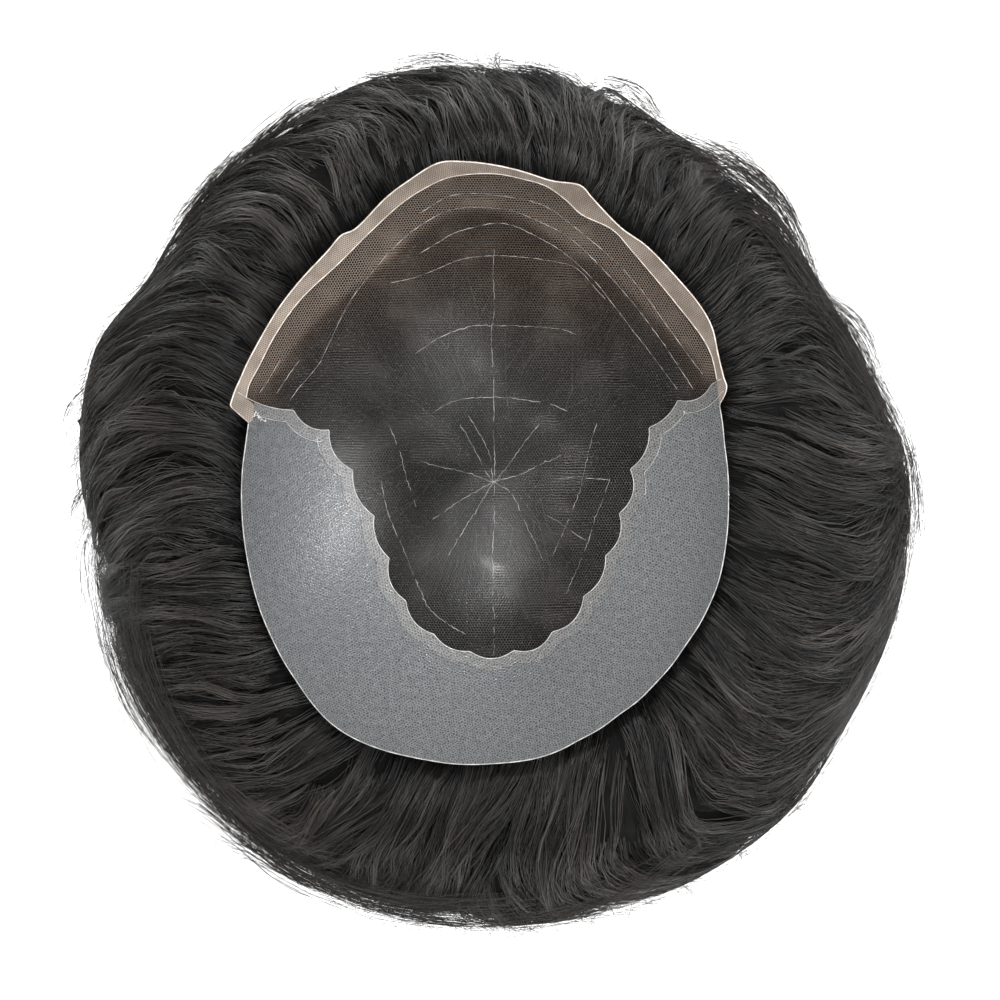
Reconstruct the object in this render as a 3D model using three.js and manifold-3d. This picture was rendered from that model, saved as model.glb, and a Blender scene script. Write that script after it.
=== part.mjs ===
// Toupee hairpiece, lying on its own hair with the scalp side up.
// Millimetres, +Z up, +Y to the front hairline, +X to the right as seen from above.
// The base is a bowl: a lace cap in the middle, a folded lace strip along the front
// hairline, a skin band round the sides and back, and a scalloped seam between lace
// and skin. The hair that leaves its outer side is five solids of its outer form.
import * as THREE from "three";
import { mergeVertices } from "three/addons/utils/BufferGeometryUtils.js";
import Module from "manifold-3d";

const wasm = await Module();
wasm.setup();

// ---- driving dimensions ------------------------------------------------------
const BASE_X = -2.9; // middle of the base, from the middle of the whole piece
const BASE_Y = 9.8;
const CENTRE_X = 0.65; // middle of the whole piece's box, brought to the origin
const CENTRE_Y = 0.43;
const BED = 18; // hair between the floor and the underside of the crown
const WALL = 1.0; // lace, skin and seam
const RISE = 54; // depth of the bowl, mean
const RISE_SWING = 4; // the front and back rim stand this much over the mean
const FLARE = 60; // degrees, sets how steep the bowl is at its rim
const GAP = 0.3; // between neighbouring pieces of the base
const HAIR_GAP = 0.6; // between the base and the hair under it
const SECTOR_GAP = 0.3; // degrees cut from each side of a hair solid
const BED_SHARE = 0.5; // share of the base's reach that the crown's bed takes
const HAIR_RIM = 0.955; // share of the bowl's reach where the hair's top starts
const LAP = 4.0; // width of the scalloped seam
const BASE_STEP = 6; // degrees between sections of the bowl
const HAIR_STEP = 4; // and of the hair

// Reach of the base from its middle. Rows with a corner have a section of their own.
const BASE = [
  { az: 0, reach: 79.2 },
  { az: 10, reach: 78.9 },
  { az: 13.5, reach: 80.2, corner: true },
  { az: 17.5, reach: 83.6, corner: true }, // right ear
  { az: 30, reach: 86.6 },
  { az: 45, reach: 87.7 },
  { az: 60, reach: 89.6 },
  { az: 68, reach: 94.8, corner: true },
  { az: 80, reach: 96.2 },
  { az: 90, reach: 98.5 },
  { az: 100, reach: 99.0, corner: true },
  { az: 110, reach: 93.6, corner: true },
  { az: 120, reach: 88.5 },
  { az: 135, reach: 85.6 },
  { az: 150, reach: 84.6 },
  { az: 160, reach: 85.4 },
  { az: 167.5, reach: 86.6, corner: true }, // left ear
  { az: 171, reach: 79.8, corner: true },
  { az: 180, reach: 79.8 },
  { az: 190, reach: 81.1 },
  { az: 200, reach: 83.8 },
  { az: 210, reach: 87.2 },
  { az: 220, reach: 91.2 },
  { az: 230, reach: 95.5 },
  { az: 240, reach: 99.2 },
  { az: 250, reach: 100.1 },
  { az: 260, reach: 99.7 },
  { az: 270, reach: 99.2 },
  { az: 280, reach: 98.3 },
  { az: 290, reach: 95.9 },
  { az: 300, reach: 93.3 },
  { az: 310, reach: 90.8 },
  { az: 320, reach: 88.5 },
  { az: 330, reach: 86.3 },
  { az: 340, reach: 83.7 },
  { az: 350, reach: 81.2 },
];

// The bowl's own plan, smoother than the cut edge: where its rim height is reached.
const BOWL = [
  { az: 0, reach: 80.5 },
  { az: 45, reach: 88.0 },
  { az: 90, reach: 97.0 },
  { az: 135, reach: 87.5 },
  { az: 180, reach: 80.5 },
  { az: 225, reach: 93.0 },
  { az: 270, reach: 99.5 },
  { az: 315, reach: 90.0 },
];

// Width of the folded front strip.
const HEM = [
  { az: 10, width: 3.0 },
  { az: 30, width: 4.4 },
  { az: 45, width: 4.0 },
  { az: 57, width: 3.8 },
  { az: 64, width: 6.0 },
  { az: 72, width: 2.8 },
  { az: 88, width: 3.0 },
  { az: 102, width: 4.6 },
  { az: 115, width: 4.4 },
  { az: 135, width: 3.6 },
  { az: 155, width: 3.4 },
  { az: 175, width: 3.4 },
];
const STRIP_FROM = 14.5; // degrees, the strip's right end
const STRIP_TO = 170.3; // and its left end

// The scalloped seam between lace and skin, from the left ear round the back to the
// right ear, from the base's middle: a row for each pointed tab. "sag" is how far the
// arc to the next point bows out towards the skin.
const SCALLOPS = [
  { x: -92.0, y: 28.4, sag: 0 },
  { x: -81.8, y: 23.2, sag: 1.6 },
  { x: -65.0, y: 18.0, sag: 1.5 },
  { x: -53.5, y: 11.5, sag: 2.4 },
  { x: -45.7, y: -2.2, sag: 2.6 },
  { x: -38.5, y: -17.9, sag: 2.4 },
  { x: -33.3, y: -32.4, sag: 2.0 },
  { x: -27.5, y: -46.9, sag: 2.6 },
  { x: -17.8, y: -58.2, sag: 2.4 },
  { x: -5.5, y: -64.0, sag: 1.9 },
  { x: 9.5, y: -63.7, sag: 2.6 },
  { x: 22.6, y: -57.4, sag: 2.8 },
  { x: 33.4, y: -45.3, sag: 2.9 },
  { x: 41.0, y: -31.4, sag: 2.3 },
  { x: 45.7, y: -17.0, sag: 2.5 },
  { x: 49.4, y: -1.8, sag: 2.8 },
  { x: 55.6, y: 12.3, sag: 2.2 },
  { x: 64.9, y: 21.3, sag: 1.4 },
  { x: 76.4, y: 27.2, sag: 0.6 },
  { x: 92.0, y: 34.6, sag: 0 },
];
const ARC_STEPS = 4; // straight pieces in each scallop

// The hair's outer form: "reach" is how far it spreads from the base's middle, "full"
// scales its height between rim and edge, and "lean" is how many degrees the locks
// swing anticlockwise on their way out.
const HAIR = [
  { az: 0, reach: 146.5, full: 1.0, lean: 9 },
  { az: 15, reach: 136.5, full: 0.98, lean: 2 },
  { az: 30, reach: 132.0, full: 0.97, lean: -8 },
  { az: 45, reach: 134.0, full: 1.0, lean: -10 },
  { az: 60, reach: 132.5, full: 0.98, lean: -4 },
  { az: 75, reach: 138.5, full: 0.98, lean: 3 },
  { az: 90, reach: 139.5, full: 1.0, lean: 8 },
  { az: 105, reach: 139.5, full: 1.02, lean: 9 },
  { az: 120, reach: 137.5, full: 1.0, lean: 8 },
  { az: 135, reach: 136.5, full: 1.0, lean: 6 },
  { az: 150, reach: 134.0, full: 1.02, lean: 5 },
  { az: 165, reach: 142.0, full: 1.03, lean: 6 },
  { az: 180, reach: 141.5, full: 1.0, lean: 7 },
  { az: 192, reach: 139.5, full: 0.96, lean: 6 },
  { az: 205, reach: 144.5, full: 1.0, lean: 3 },
  { az: 220, reach: 147.0, full: 1.02, lean: -2 },
  { az: 235, reach: 151.5, full: 1.0, lean: -7 },
  { az: 250, reach: 157.0, full: 0.98, lean: -3 },
  { az: 265, reach: 159.0, full: 1.0, lean: 3 },
  { az: 280, reach: 161.0, full: 1.02, lean: 8 },
  { az: 295, reach: 161.5, full: 1.05, lean: 12 },
  { az: 310, reach: 160.5, full: 1.04, lean: 13 },
  { az: 325, reach: 154.5, full: 1.0, lean: 12 },
  { az: 342, reach: 151.5, full: 1.0, lean: 11 },
];

// The hair's cross-section from under the base's rim outwards: "out" is the share of
// the way to the hair's reach, "up" the share of its height at the start, and "lock" how
// far the locks stand proud there. It swells past the rim, then rolls down to the floor.
const SLOPE = [
  { out: 0.0, up: 1.0, lock: 0 },
  { out: 0.1, up: 1.02, lock: 0.5 },
  { out: 0.25, up: 1.035, lock: 1.5 },
  { out: 0.42, up: 1.0, lock: 2.4 },
  { out: 0.6, up: 0.89, lock: 3.0 },
  { out: 0.76, up: 0.73, lock: 3.2 },
  { out: 0.89, up: 0.54, lock: 3.2 },
  { out: 0.97, up: 0.37, lock: 2.8 },
  { out: 1.0, up: 0.23, lock: 2.4 },
  { out: 0.98, up: 0.1, lock: 1.6 },
  { out: 0.9, up: 0.03, lock: 0.5 },
  { out: 0.8, up: 0.0, lock: 0 },
];
// Locks round the piece: two waves of grooves.
const LOCKS = [
  { count: 13, share: 0.6, start: 20 },
  { count: 18, share: 0.4, start: 75 },
];
// The hair's solids, by where they leave the base, in degrees.
const ZONES = [
  { name: "hair_front", from: 32, to: 147 },
  { name: "hair_left", from: 147, to: 227 },
  { name: "hair_back", from: 227, to: 312 },
  { name: "hair_right", from: 312, to: 392 },
];
// Shares of the base's reach at which the bowl has a ring of points.
const RINGS = [0, 0.2, 0.38, 0.55, 0.7, 0.85, 1];
const HAIR_RINGS = [0, 0.25, 0.52, 0.8, 1]; // and the hair, from the bed to the rim
const BED_RINGS = [0, 0.33, 0.66, 0.985]; // and the bed under the crown

// ---- helpers -------------------------------------------------------------------
const rad = (degrees) => (degrees * Math.PI) / 180;

// A smooth value of column key round the circle, with no overshoot between rows.
function around(rows, key) {
  const n = rows.length;
  const at = (i) => rows[((i % n) + n) % n];
  const width = (i) => (((at(i + 1).az - at(i).az) % 360) + 360) % 360;
  const rate = (i) => (at(i + 1)[key] - at(i)[key]) / width(i);
  const slope = rows.map((_, i) => {
    const before = rate(i - 1);
    const after = rate(i);
    return before * after <= 0 ? 0 : (2 * before * after) / (before + after);
  });
  return (azimuth) => {
    const az = ((azimuth % 360) + 360) % 360;
    let i = n - 1;
    for (let j = 0; j < n; j++) if (at(j).az <= az) i = j;
    if (az < at(0).az) i = n - 1;
    const w = width(i);
    const u = ((((az - at(i).az) % 360) + 360) % 360) / w;
    const [a, b] = [at(i)[key], at(i + 1)[key]];
    const [p, q] = [slope[i] * w, slope[(i + 1) % n] * w];
    const [u2, u3] = [u * u, u * u * u];
    return (
      a * (2 * u3 - 3 * u2 + 1) + p * (u3 - 2 * u2 + u) + b * (3 * u2 - 2 * u3) + q * (u3 - u2)
    );
  };
}

const baseReach = around(BASE, "reach");
const bowlReach = around(BOWL, "reach");
const hairReach = around(HAIR, "reach");
const hairFull = around(HAIR, "full");
const hairLean = around(HAIR, "lean");

function hemWidth(az) {
  const after = Math.max(1, HEM.findIndex((row) => row.az >= az));
  const [a, b] = [HEM[after - 1], HEM[after]];
  return a.width + ((b.width - a.width) * (az - a.az)) / (b.az - a.az);
}

// A point of the bowl: r out from its middle on the scalp side, then depth below that
// along the wall's normal.
function bowl(az, r, depth) {
  const reach = bowlReach(az);
  const share = r / reach;
  const rise = RISE - RISE_SWING * Math.cos(rad(2 * az));
  const s = Math.sin(rad(FLARE));
  const root = Math.sqrt(1 - (share * s) ** 2);
  const height = (rise * (1 - root)) / (1 - Math.cos(rad(FLARE)));
  const slope = Math.atan((rise * share * s * s) / (root * (1 - Math.cos(rad(FLARE))) * reach));
  return {
    r: r + depth * Math.sin(slope),
    z: BED + WALL + height - depth * Math.cos(slope),
  };
}

const place = (az, { r, z }) => [r * Math.cos(rad(az)), r * Math.sin(rad(az)), z];

// Azimuths of the sections from one to another, with the corners' own among them.
function azimuths(from, to, step) {
  const list = [from, to];
  for (let az = Math.ceil(from / step) * step; az < to; az += step) list.push(az);
  for (const row of BASE) if (row.corner) list.push(row.az);
  const inside = [...new Set(list)].filter((az) => az >= from && az <= to).sort((a, b) => a - b);
  return inside.filter((az, i) => az === from || az === to || (az - inside[i - 1] > 0.9 && to - az > 0.9));
}

function volumeOf(points, faces) {
  let sum = 0;
  const [a, b, c] = [new THREE.Vector3(), new THREE.Vector3(), new THREE.Vector3()];
  for (const [i, j, k] of faces) {
    a.fromArray(points[i]);
    b.fromArray(points[j]);
    c.fromArray(points[k]);
    sum += a.dot(b.cross(c)) / 6;
  }
  return sum;
}

function toGeometry(points, faces) {
  const outward = volumeOf(points, faces) < 0 ? faces.map(([a, b, c]) => [a, c, b]) : faces;
  const loose = new THREE.BufferGeometry();
  loose.setAttribute("position", new THREE.Float32BufferAttribute(points.flat(), 3));
  loose.setIndex(outward.flat());
  const joined = mergeVertices(loose, 1e-4);
  const index = joined.index.array;
  const kept = [];
  for (let i = 0; i < index.length; i += 3) {
    const [a, b, c] = [index[i], index[i + 1], index[i + 2]];
    if (a !== b && b !== c && a !== c) kept.push(a, b, c);
  }
  joined.setIndex(kept);
  return joined;
}

// A solid through like sections, each a closed loop of points. It closes on itself
// when round is true, and otherwise has flat ends.
function loft(sections, profiles, round) {
  const n = sections[0].length;
  const points = sections.flat();
  const faces = [];
  const spans = round ? sections.length : sections.length - 1;
  for (let i = 0; i < spans; i++) {
    const [here, next] = [i * n, ((i + 1) % sections.length) * n];
    for (let j = 0; j < n; j++) {
      const k = (j + 1) % n;
      faces.push([here + j, here + k, next + k], [here + j, next + k, next + j]);
    }
  }
  if (!round) {
    const last = (sections.length - 1) * n;
    for (const [start, profile, onward] of [
      [0, profiles[0], false],
      [last, profiles.at(-1), true],
    ]) {
      const outline = profile.map(({ r, z }) => new THREE.Vector2(r, z));
      const whole = Math.sign(THREE.ShapeUtils.area(outline));
      for (const [a, b, c] of THREE.ShapeUtils.triangulateShape(outline, [])) {
        const turn = Math.sign(THREE.ShapeUtils.area([outline[a], outline[b], outline[c]]));
        const same = (turn === whole) === onward;
        faces.push(same ? [start + a, start + b, start + c] : [start + a, start + c, start + b]);
      }
    }
  }
  return toGeometry(points, faces);
}

function toManifold(geometry) {
  const bare = geometry.clone();
  bare.deleteAttribute("normal");
  bare.deleteAttribute("uv");
  const joined = mergeVertices(bare, 1e-4);
  return new wasm.Manifold(
    new wasm.Mesh({
      numProp: 3,
      vertProperties: Float32Array.from(joined.attributes.position.array),
      triVerts: Uint32Array.from(joined.index.array),
    }),
  );
}

function fromManifold(solid) {
  const mesh = solid.getMesh();
  const geometry = new THREE.BufferGeometry();
  geometry.setAttribute(
    "position",
    new THREE.Float32BufferAttribute(Float32Array.from(mesh.vertProperties), 3),
  );
  geometry.setIndex(Array.from(mesh.triVerts));
  return geometry;
}

// A tall block over an outline, grown (or shrunk) by margin.
function cutter(outline, margin) {
  const n = outline.length;
  const turn = THREE.ShapeUtils.area(outline) > 0 ? 1 : -1;
  const grown = outline.map((p, i) => {
    const a = outline[(i + n - 1) % n];
    const b = outline[(i + 1) % n];
    const [u, v] = [p.clone().sub(a).normalize(), b.clone().sub(p).normalize()];
    const normal = new THREE.Vector2(u.y + v.y, -(u.x + v.x)).normalize();
    const stretch = Math.max(0.45, Math.sqrt((1 + u.dot(v)) / 2));
    return p.clone().addScaledVector(normal, (turn * margin) / stretch);
  });
  const block = new THREE.ExtrudeGeometry(new THREE.Shape(grown), {
    depth: 140,
    bevelEnabled: false,
    curveSegments: 1,
  });
  return toManifold(block.translate(0, 0, -20));
}

// The scallop line, as arcs between its tabs.
function scallopLine() {
  const points = [];
  for (let i = 0; i + 1 < SCALLOPS.length; i++) {
    const a = new THREE.Vector2(SCALLOPS[i].x, SCALLOPS[i].y);
    const b = new THREE.Vector2(SCALLOPS[i + 1].x, SCALLOPS[i + 1].y);
    const along = b.clone().sub(a);
    const out = new THREE.Vector2(along.y, -along.x).normalize();
    for (let j = 0; j < ARC_STEPS; j++) {
      const u = j / ARC_STEPS;
      points.push(
        a.clone().addScaledVector(along, u).addScaledVector(out, 4 * u * (1 - u) * SCALLOPS[i].sag),
      );
    }
  }
  const { x, y } = SCALLOPS.at(-1);
  points.push(new THREE.Vector2(x, y));
  return points;
}

// The same line moved out towards the skin by the seam's width.
function lapLine(line) {
  return line.map((p, i) => {
    const a = line[Math.max(0, i - ARC_STEPS)];
    const b = line[Math.min(line.length - 1, i + ARC_STEPS)];
    const along = b.clone().sub(a).normalize();
    return p.clone().add(new THREE.Vector2(along.y, -along.x).multiplyScalar(LAP));
  });
}

// ---- the base ---------------------------------------------------------------------
const bowlSections = azimuths(0, 360, BASE_STEP)
  .slice(0, -1)
  .map((az) =>
    [
      ...RINGS.map((share) => bowl(az, share * baseReach(az), 0)),
      ...[...RINGS].reverse().map((share) => bowl(az, share * baseReach(az), WALL)),
    ].map((p) => place(az, p)),
  );
const bowlWall = toManifold(loft(bowlSections, null, true));

const scallops = scallopLine();
const laps = lapLine(scallops);
const seamOutline = [...scallops, ...[...laps].reverse()];
const laceOutline = [...scallops, new THREE.Vector2(92, 125), new THREE.Vector2(-92, 125)];
const stripInner = [];
const stripOuter = [];
for (const az of azimuths(STRIP_FROM, STRIP_TO, BASE_STEP)) {
  const reach = baseReach(az);
  const [x, y] = [Math.cos(rad(az)), Math.sin(rad(az))];
  stripInner.push(new THREE.Vector2(x, y).multiplyScalar(reach - hemWidth(az)));
  stripOuter.push(new THREE.Vector2(x, y).multiplyScalar(reach + 6));
}
const stripOutline = [...stripInner, ...stripOuter.reverse()];

const half = GAP / 2;
const strip = bowlWall.intersect(cutter(stripOutline, -half));
const offStrip = bowlWall.subtract(cutter(stripOutline, half));
const seam = offStrip.intersect(cutter(seamOutline, -half));
const offSeam = offStrip.subtract(cutter(seamOutline, half));
const lace = offSeam.intersect(cutter(laceOutline, 0));
const skin = offSeam.subtract(cutter(laceOutline, 0));

// Slivers that the cuts leave at the ears are dropped.
function largest(solid) {
  const parts = solid.decompose();
  return parts.reduce((a, b) => (b.volume() > a.volume() ? b : a));
}

// ---- the hair -----------------------------------------------------------------------
const UNDER = WALL + HAIR_GAP;

function lockWave(az, out) {
  const turned = az - hairLean(az) * out;
  return LOCKS.reduce((sum, l) => sum + l.share * Math.sin(rad(l.count * turned + l.start)), 0);
}

function hairProfile(az) {
  const [from, to] = [BED_SHARE * bowlReach(az), HAIR_RIM * bowlReach(az)];
  const inner = HAIR_RINGS.map((share) => bowl(az, from + (to - from) * share, UNDER));
  const rim = inner.at(-1);
  const reach = hairReach(az);
  const outer = SLOPE.slice(1).map(({ out, up, lock }) => {
    const wave = lockWave(az, out);
    const full = up > 0 ? 1 + (hairFull(az) - 1) * Math.sin(Math.PI * Math.min(1, out)) : 1;
    return {
      r: rim.r + (reach - rim.r) * out + 0.8 * lock * wave,
      z: up > 0 ? Math.max(0.6, rim.z * up * full + 0.6 * lock * wave) : 0,
    };
  });
  return [{ r: inner[0].r, z: 0 }, ...inner, ...outer];
}

function hairSolid({ from, to }) {
  const list = [from + SECTOR_GAP];
  for (let az = from + HAIR_STEP; az < to - 0.5 * HAIR_STEP; az += HAIR_STEP) list.push(az);
  list.push(to - SECTOR_GAP);
  const profiles = list.map(hairProfile);
  return loft(
    profiles.map((profile, i) => profile.map((p) => place(list[i], p))),
    profiles,
    false,
  );
}

function crownSolid() {
  const sections = [];
  for (let az = 0; az < 360; az += 2 * HAIR_STEP) {
    const top = BED_RINGS.map((share) => bowl(az, share * BED_SHARE * bowlReach(az), UNDER));
    const edge = top.at(-1);
    sections.push([...top, { r: edge.r, z: 0 }, { r: 0, z: 0 }].map((p) => place(az, p)));
  }
  return loft(sections, null, true);
}

// ---- the assembly --------------------------------------------------------------------
const toupee = new THREE.Group();
toupee.name = "toupee";
toupee.position.set(BASE_X - CENTRE_X, BASE_Y - CENTRE_Y, 0);

function add(name, geometry, color, roughness) {
  geometry.computeVertexNormals();
  const material = new THREE.MeshStandardMaterial({ color, roughness, metalness: 0 });
  const mesh = new THREE.Mesh(geometry, material);
  mesh.name = name;
  toupee.add(mesh);
}

add("lace_cap", fromManifold(largest(lace)), 0x3f3b3a, 0.8);
add("front_lace_strip", fromManifold(largest(strip)), 0xbfae9c, 0.75);
add("poly_band", fromManifold(largest(skin)), 0x787e82, 0.4);
add("scallop_seam", fromManifold(largest(seam)), 0x96918a, 0.6);
for (const zone of ZONES) add(zone.name, hairSolid(zone), 0x1c1a19, 0.5);
add("hair_crown", crownSolid(), 0x171514, 0.55);

export default toupee;
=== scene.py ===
import math

import bpy
import numpy as np
from mathutils.geometry import delaunay_2d_cdt
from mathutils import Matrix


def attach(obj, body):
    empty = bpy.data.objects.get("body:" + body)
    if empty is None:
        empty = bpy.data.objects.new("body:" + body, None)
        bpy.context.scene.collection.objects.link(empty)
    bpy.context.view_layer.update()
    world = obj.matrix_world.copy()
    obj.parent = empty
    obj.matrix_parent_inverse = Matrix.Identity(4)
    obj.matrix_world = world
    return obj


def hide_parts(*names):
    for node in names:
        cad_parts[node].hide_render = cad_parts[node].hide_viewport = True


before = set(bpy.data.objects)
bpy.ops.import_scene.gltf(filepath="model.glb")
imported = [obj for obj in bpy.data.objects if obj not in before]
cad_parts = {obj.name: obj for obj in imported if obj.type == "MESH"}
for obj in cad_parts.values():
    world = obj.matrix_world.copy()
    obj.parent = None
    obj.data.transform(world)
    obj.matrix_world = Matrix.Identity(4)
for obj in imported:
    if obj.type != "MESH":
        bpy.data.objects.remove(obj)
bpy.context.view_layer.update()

scene = bpy.context.scene

# ------------------------------------------------------------------ camera, floor, light

EYE = (1.25, -3.03, 1250.0)  # mm, straight above the piece
LENS, SENSOR = 127.85, 36.0
PX = SENSOR / LENS / 1000  # how much of the distance one photo pixel spans

cam_data = bpy.data.cameras.new("camera")
cam_data.sensor_width, cam_data.lens = SENSOR, LENS
cam_data.clip_start, cam_data.clip_end = 0.05, 20
camera = bpy.data.objects.new("camera", cam_data)
camera.location = [c / 1000 for c in EYE]
scene.collection.objects.link(camera)
scene.camera = camera
scene.view_settings.view_transform = "Standard"


def smooth_step(x, a, b):
    t = np.clip((np.asarray(x, float) - a) / (b - a), 0, 1)
    return t * t * (3 - 2 * t)


def aim(obj, place, at):
    obj.location = place
    d = np.array(place, float) - np.array(at, float)
    d /= np.linalg.norm(d)
    obj.rotation_euler = (math.acos(d[2]), 0, math.atan2(d[1], d[0]) + math.pi / 2)


def area_light(name, place, at, size, power, colour=(1, 1, 1)):
    data = bpy.data.lights.new(name, "AREA")
    data.shape, data.size, data.size_y = "RECTANGLE", size[0], size[1]
    data.energy, data.color = power, colour
    obj = bpy.data.objects.new(name, data)
    aim(obj, place, at)
    scene.collection.objects.link(obj)
    return obj


world = bpy.data.worlds.new("studio")
world.use_nodes = True
world.node_tree.nodes["Background"].inputs["Color"].default_value = (1, 1, 1, 1)
world.node_tree.nodes["Background"].inputs["Strength"].default_value = 0.32
scene.world = world
scene.cycles.max_bounces = 3
scene.cycles.diffuse_bounces = 1
scene.cycles.glossy_bounces = 1
scene.cycles.transparent_max_bounces = 4
scene.cycles.caustics_reflective = False
scene.cycles.caustics_refractive = False
area_light("key", (0.0, 0.82, 1.35), (0, 0, 0.05), (0.30, 0.18), 27)
area_light("top", (-0.5, -0.2, 1.6), (0, 0, 0.05), (1.8, 1.8), 22)
area_light("side", (1.36, 0.30, 0.66), (-0.05, 0, 0.035), (0.5, 0.15), 16)
area_light("low", (0.45, -1.0, 1.35), (0, 0, 0.05), (0.5, 0.35), 18)

# ------------------------------------------------------------------ the bowl, in mm, from the middle of the base

MID = np.array([-3.55, 9.37])  # middle of the base in the row frame
BOWL = [(0, 80.5), (45, 88.0), (90, 97.0), (135, 87.5), (180, 80.5), (225, 93.0), (270, 99.5), (315, 90.0)]
HAIR_REACH = [
    (0, 146.5), (15, 136.5), (30, 132.0), (45, 134.0), (60, 132.5), (75, 138.5), (90, 139.5), (105, 139.5),
    (120, 137.5), (135, 136.5), (150, 134.0), (165, 142.0), (180, 141.5), (192, 139.5), (205, 144.5), (220, 147.0),
    (235, 151.5), (250, 157.0), (265, 159.0), (280, 161.0), (295, 161.5), (310, 160.5), (325, 154.5), (342, 151.5),
]
HAIR_FULL = [
    (0, 1.0), (15, 0.98), (30, 0.97), (45, 1.0), (60, 0.98), (75, 0.98), (90, 1.0), (105, 1.02),
    (120, 1.0), (135, 1.0), (150, 1.02), (165, 1.03), (180, 1.0), (192, 0.96), (205, 1.0), (220, 1.02),
    (235, 1.0), (250, 0.98), (265, 1.0), (280, 1.02), (295, 1.05), (310, 1.04), (325, 1.0), (342, 1.0),
]
SLOPE = [
    (0.0, 1.0), (0.1, 1.02), (0.25, 1.035), (0.42, 1.0), (0.6, 0.89), (0.76, 0.73), (0.89, 0.54),
    (0.97, 0.37), (1.0, 0.23), (0.98, 0.1), (0.9, 0.03), (0.8, 0.0),
]
SCALLOPS = [
    (-92.0, 28.4, 0), (-81.8, 23.2, 1.6), (-65.0, 18.0, 1.5), (-53.5, 11.5, 2.4), (-45.7, -2.2, 2.6),
    (-38.5, -17.9, 2.4), (-33.3, -32.4, 2.0), (-27.5, -46.9, 2.6), (-17.8, -58.2, 2.4), (-5.5, -64.0, 1.9),
    (9.5, -63.7, 2.6), (22.6, -57.4, 2.8), (33.4, -45.3, 2.9), (41.0, -31.4, 2.3), (45.7, -17.0, 2.5),
    (49.4, -1.8, 2.8), (55.6, 12.3, 2.2), (64.9, 21.3, 1.4), (75.4, 26.2, 2.4), (92.0, 35.6, 0),
]
BED, WALL, RISE, SWING, FLARE = 18.0, 1.0, 54.0, 4.0, math.radians(60)


def around(rows):
    """A smooth function of azimuth in degrees through the rows, without overshoot."""
    az = np.array([r[0] for r in rows], float)
    val = np.array([r[1] for r in rows], float)
    n = len(az)
    wide = np.diff(np.r_[az, az[0] + 360])
    rate = np.diff(np.r_[val, val[0]]) / wide
    before = np.roll(rate, 1)
    both = before + rate
    slope = np.where(before * rate <= 0, 0, 2 * before * rate / np.where(both == 0, 1, both))

    def f(a):
        a = np.asarray(a, float) % 360
        i = (np.searchsorted(az, a, side="right") - 1) % n
        u = ((a - az[i]) % 360) / wide[i]
        p, q = slope[i] * wide[i], slope[(i + 1) % n] * wide[i]
        return (
            val[i] * (2 * u**3 - 3 * u**2 + 1)
            + p * (u**3 - 2 * u**2 + u)
            + val[(i + 1) % n] * (3 * u**2 - 2 * u**3)
            + q * (u**3 - u**2)
        )

    return f


bowl_reach, hair_reach, hair_full = around(BOWL), around(HAIR_REACH), around(HAIR_FULL)


def height(x, y):
    """Height of the base's scalp side above the floor."""
    az = np.degrees(np.arctan2(y, x))
    rise = RISE - SWING * np.cos(2 * np.radians(az))
    share = np.hypot(x, y) / bowl_reach(az)
    root = np.sqrt(np.maximum(1 - (share * math.sin(FLARE)) ** 2, 1e-3))
    return BED + WALL + rise * (1 - root) / (1 - math.cos(FLARE))


def normals(x, y):
    e = 0.25
    gx = (height(x + e, y) - height(x - e, y)) / (2 * e)
    gy = (height(x, y + e) - height(x, y - e)) / (2 * e)
    n = np.stack([-gx, -gy, np.ones_like(gx)], -1)
    return n / np.linalg.norm(n, axis=-1, keepdims=True)


def on_bowl(xy, depth=0.0):
    """Points on the bowl, that far under its scalp side."""
    xy = np.asarray(xy, float)
    n = normals(xy[:, 0], xy[:, 1])
    p = np.column_stack([xy, height(xy[:, 0], xy[:, 1])])
    return p - n * np.reshape(depth, (-1, 1))


def seen_at(*pixels):
    """Where the camera sees these points of the base, as x and y from the base's middle."""
    uv = np.array(pixels, float)
    z = np.full(len(uv), 75.0)
    for _ in range(12):
        k = PX * (EYE[2] - z)
        x = EYE[0] + (uv[:, 0] - 500) * k - MID[0]
        y = EYE[1] - (uv[:, 1] - 500) * k - MID[1]
        z = 0.5 * z + 0.5 * np.minimum(height(x, y), 84)
    return np.column_stack([x, y])


def metres(p):
    return (np.asarray(p) + [MID[0], MID[1], 0]) / 1000


# ------------------------------------------------------------------ mesh helpers


def add_mesh(name, verts, faces, material, uv=None, attrs=None, smooth=True):
    """faces is a list of index arrays, each (n, 3) or (n, 4). verts in mm from the base's middle. uv is per corner."""
    me = bpy.data.meshes.new(name)
    verts = metres(verts)
    me.vertices.add(len(verts))
    me.vertices.foreach_set("co", verts.astype(np.float32).ravel())
    loops = np.concatenate([f.ravel() for f in faces])
    sizes = np.concatenate([np.full(len(f), f.shape[1]) for f in faces])
    starts = np.r_[0, np.cumsum(sizes)[:-1]]
    me.loops.add(len(loops))
    me.loops.foreach_set("vertex_index", loops.astype(np.int32))
    me.polygons.add(len(sizes))
    me.polygons.foreach_set("loop_start", starts.astype(np.int32))
    me.polygons.foreach_set("loop_total", sizes.astype(np.int32))
    me.update(calc_edges=True)
    me.polygons.foreach_set("use_smooth", np.full(len(sizes), smooth))
    for key, values in (uv or {}).items():
        me.uv_layers.new(name=key, do_init=False).uv.foreach_set("vector", values.astype(np.float32).ravel())
    for key, values in (attrs or {}).items():
        a = me.attributes.new(key, "FLOAT", "POINT")
        a.data.foreach_set("value", values.astype(np.float32).ravel())
    me.materials.append(material)
    obj = bpy.data.objects.new(name, me)
    scene.collection.objects.link(obj)
    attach(obj, "root")
    return obj


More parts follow.
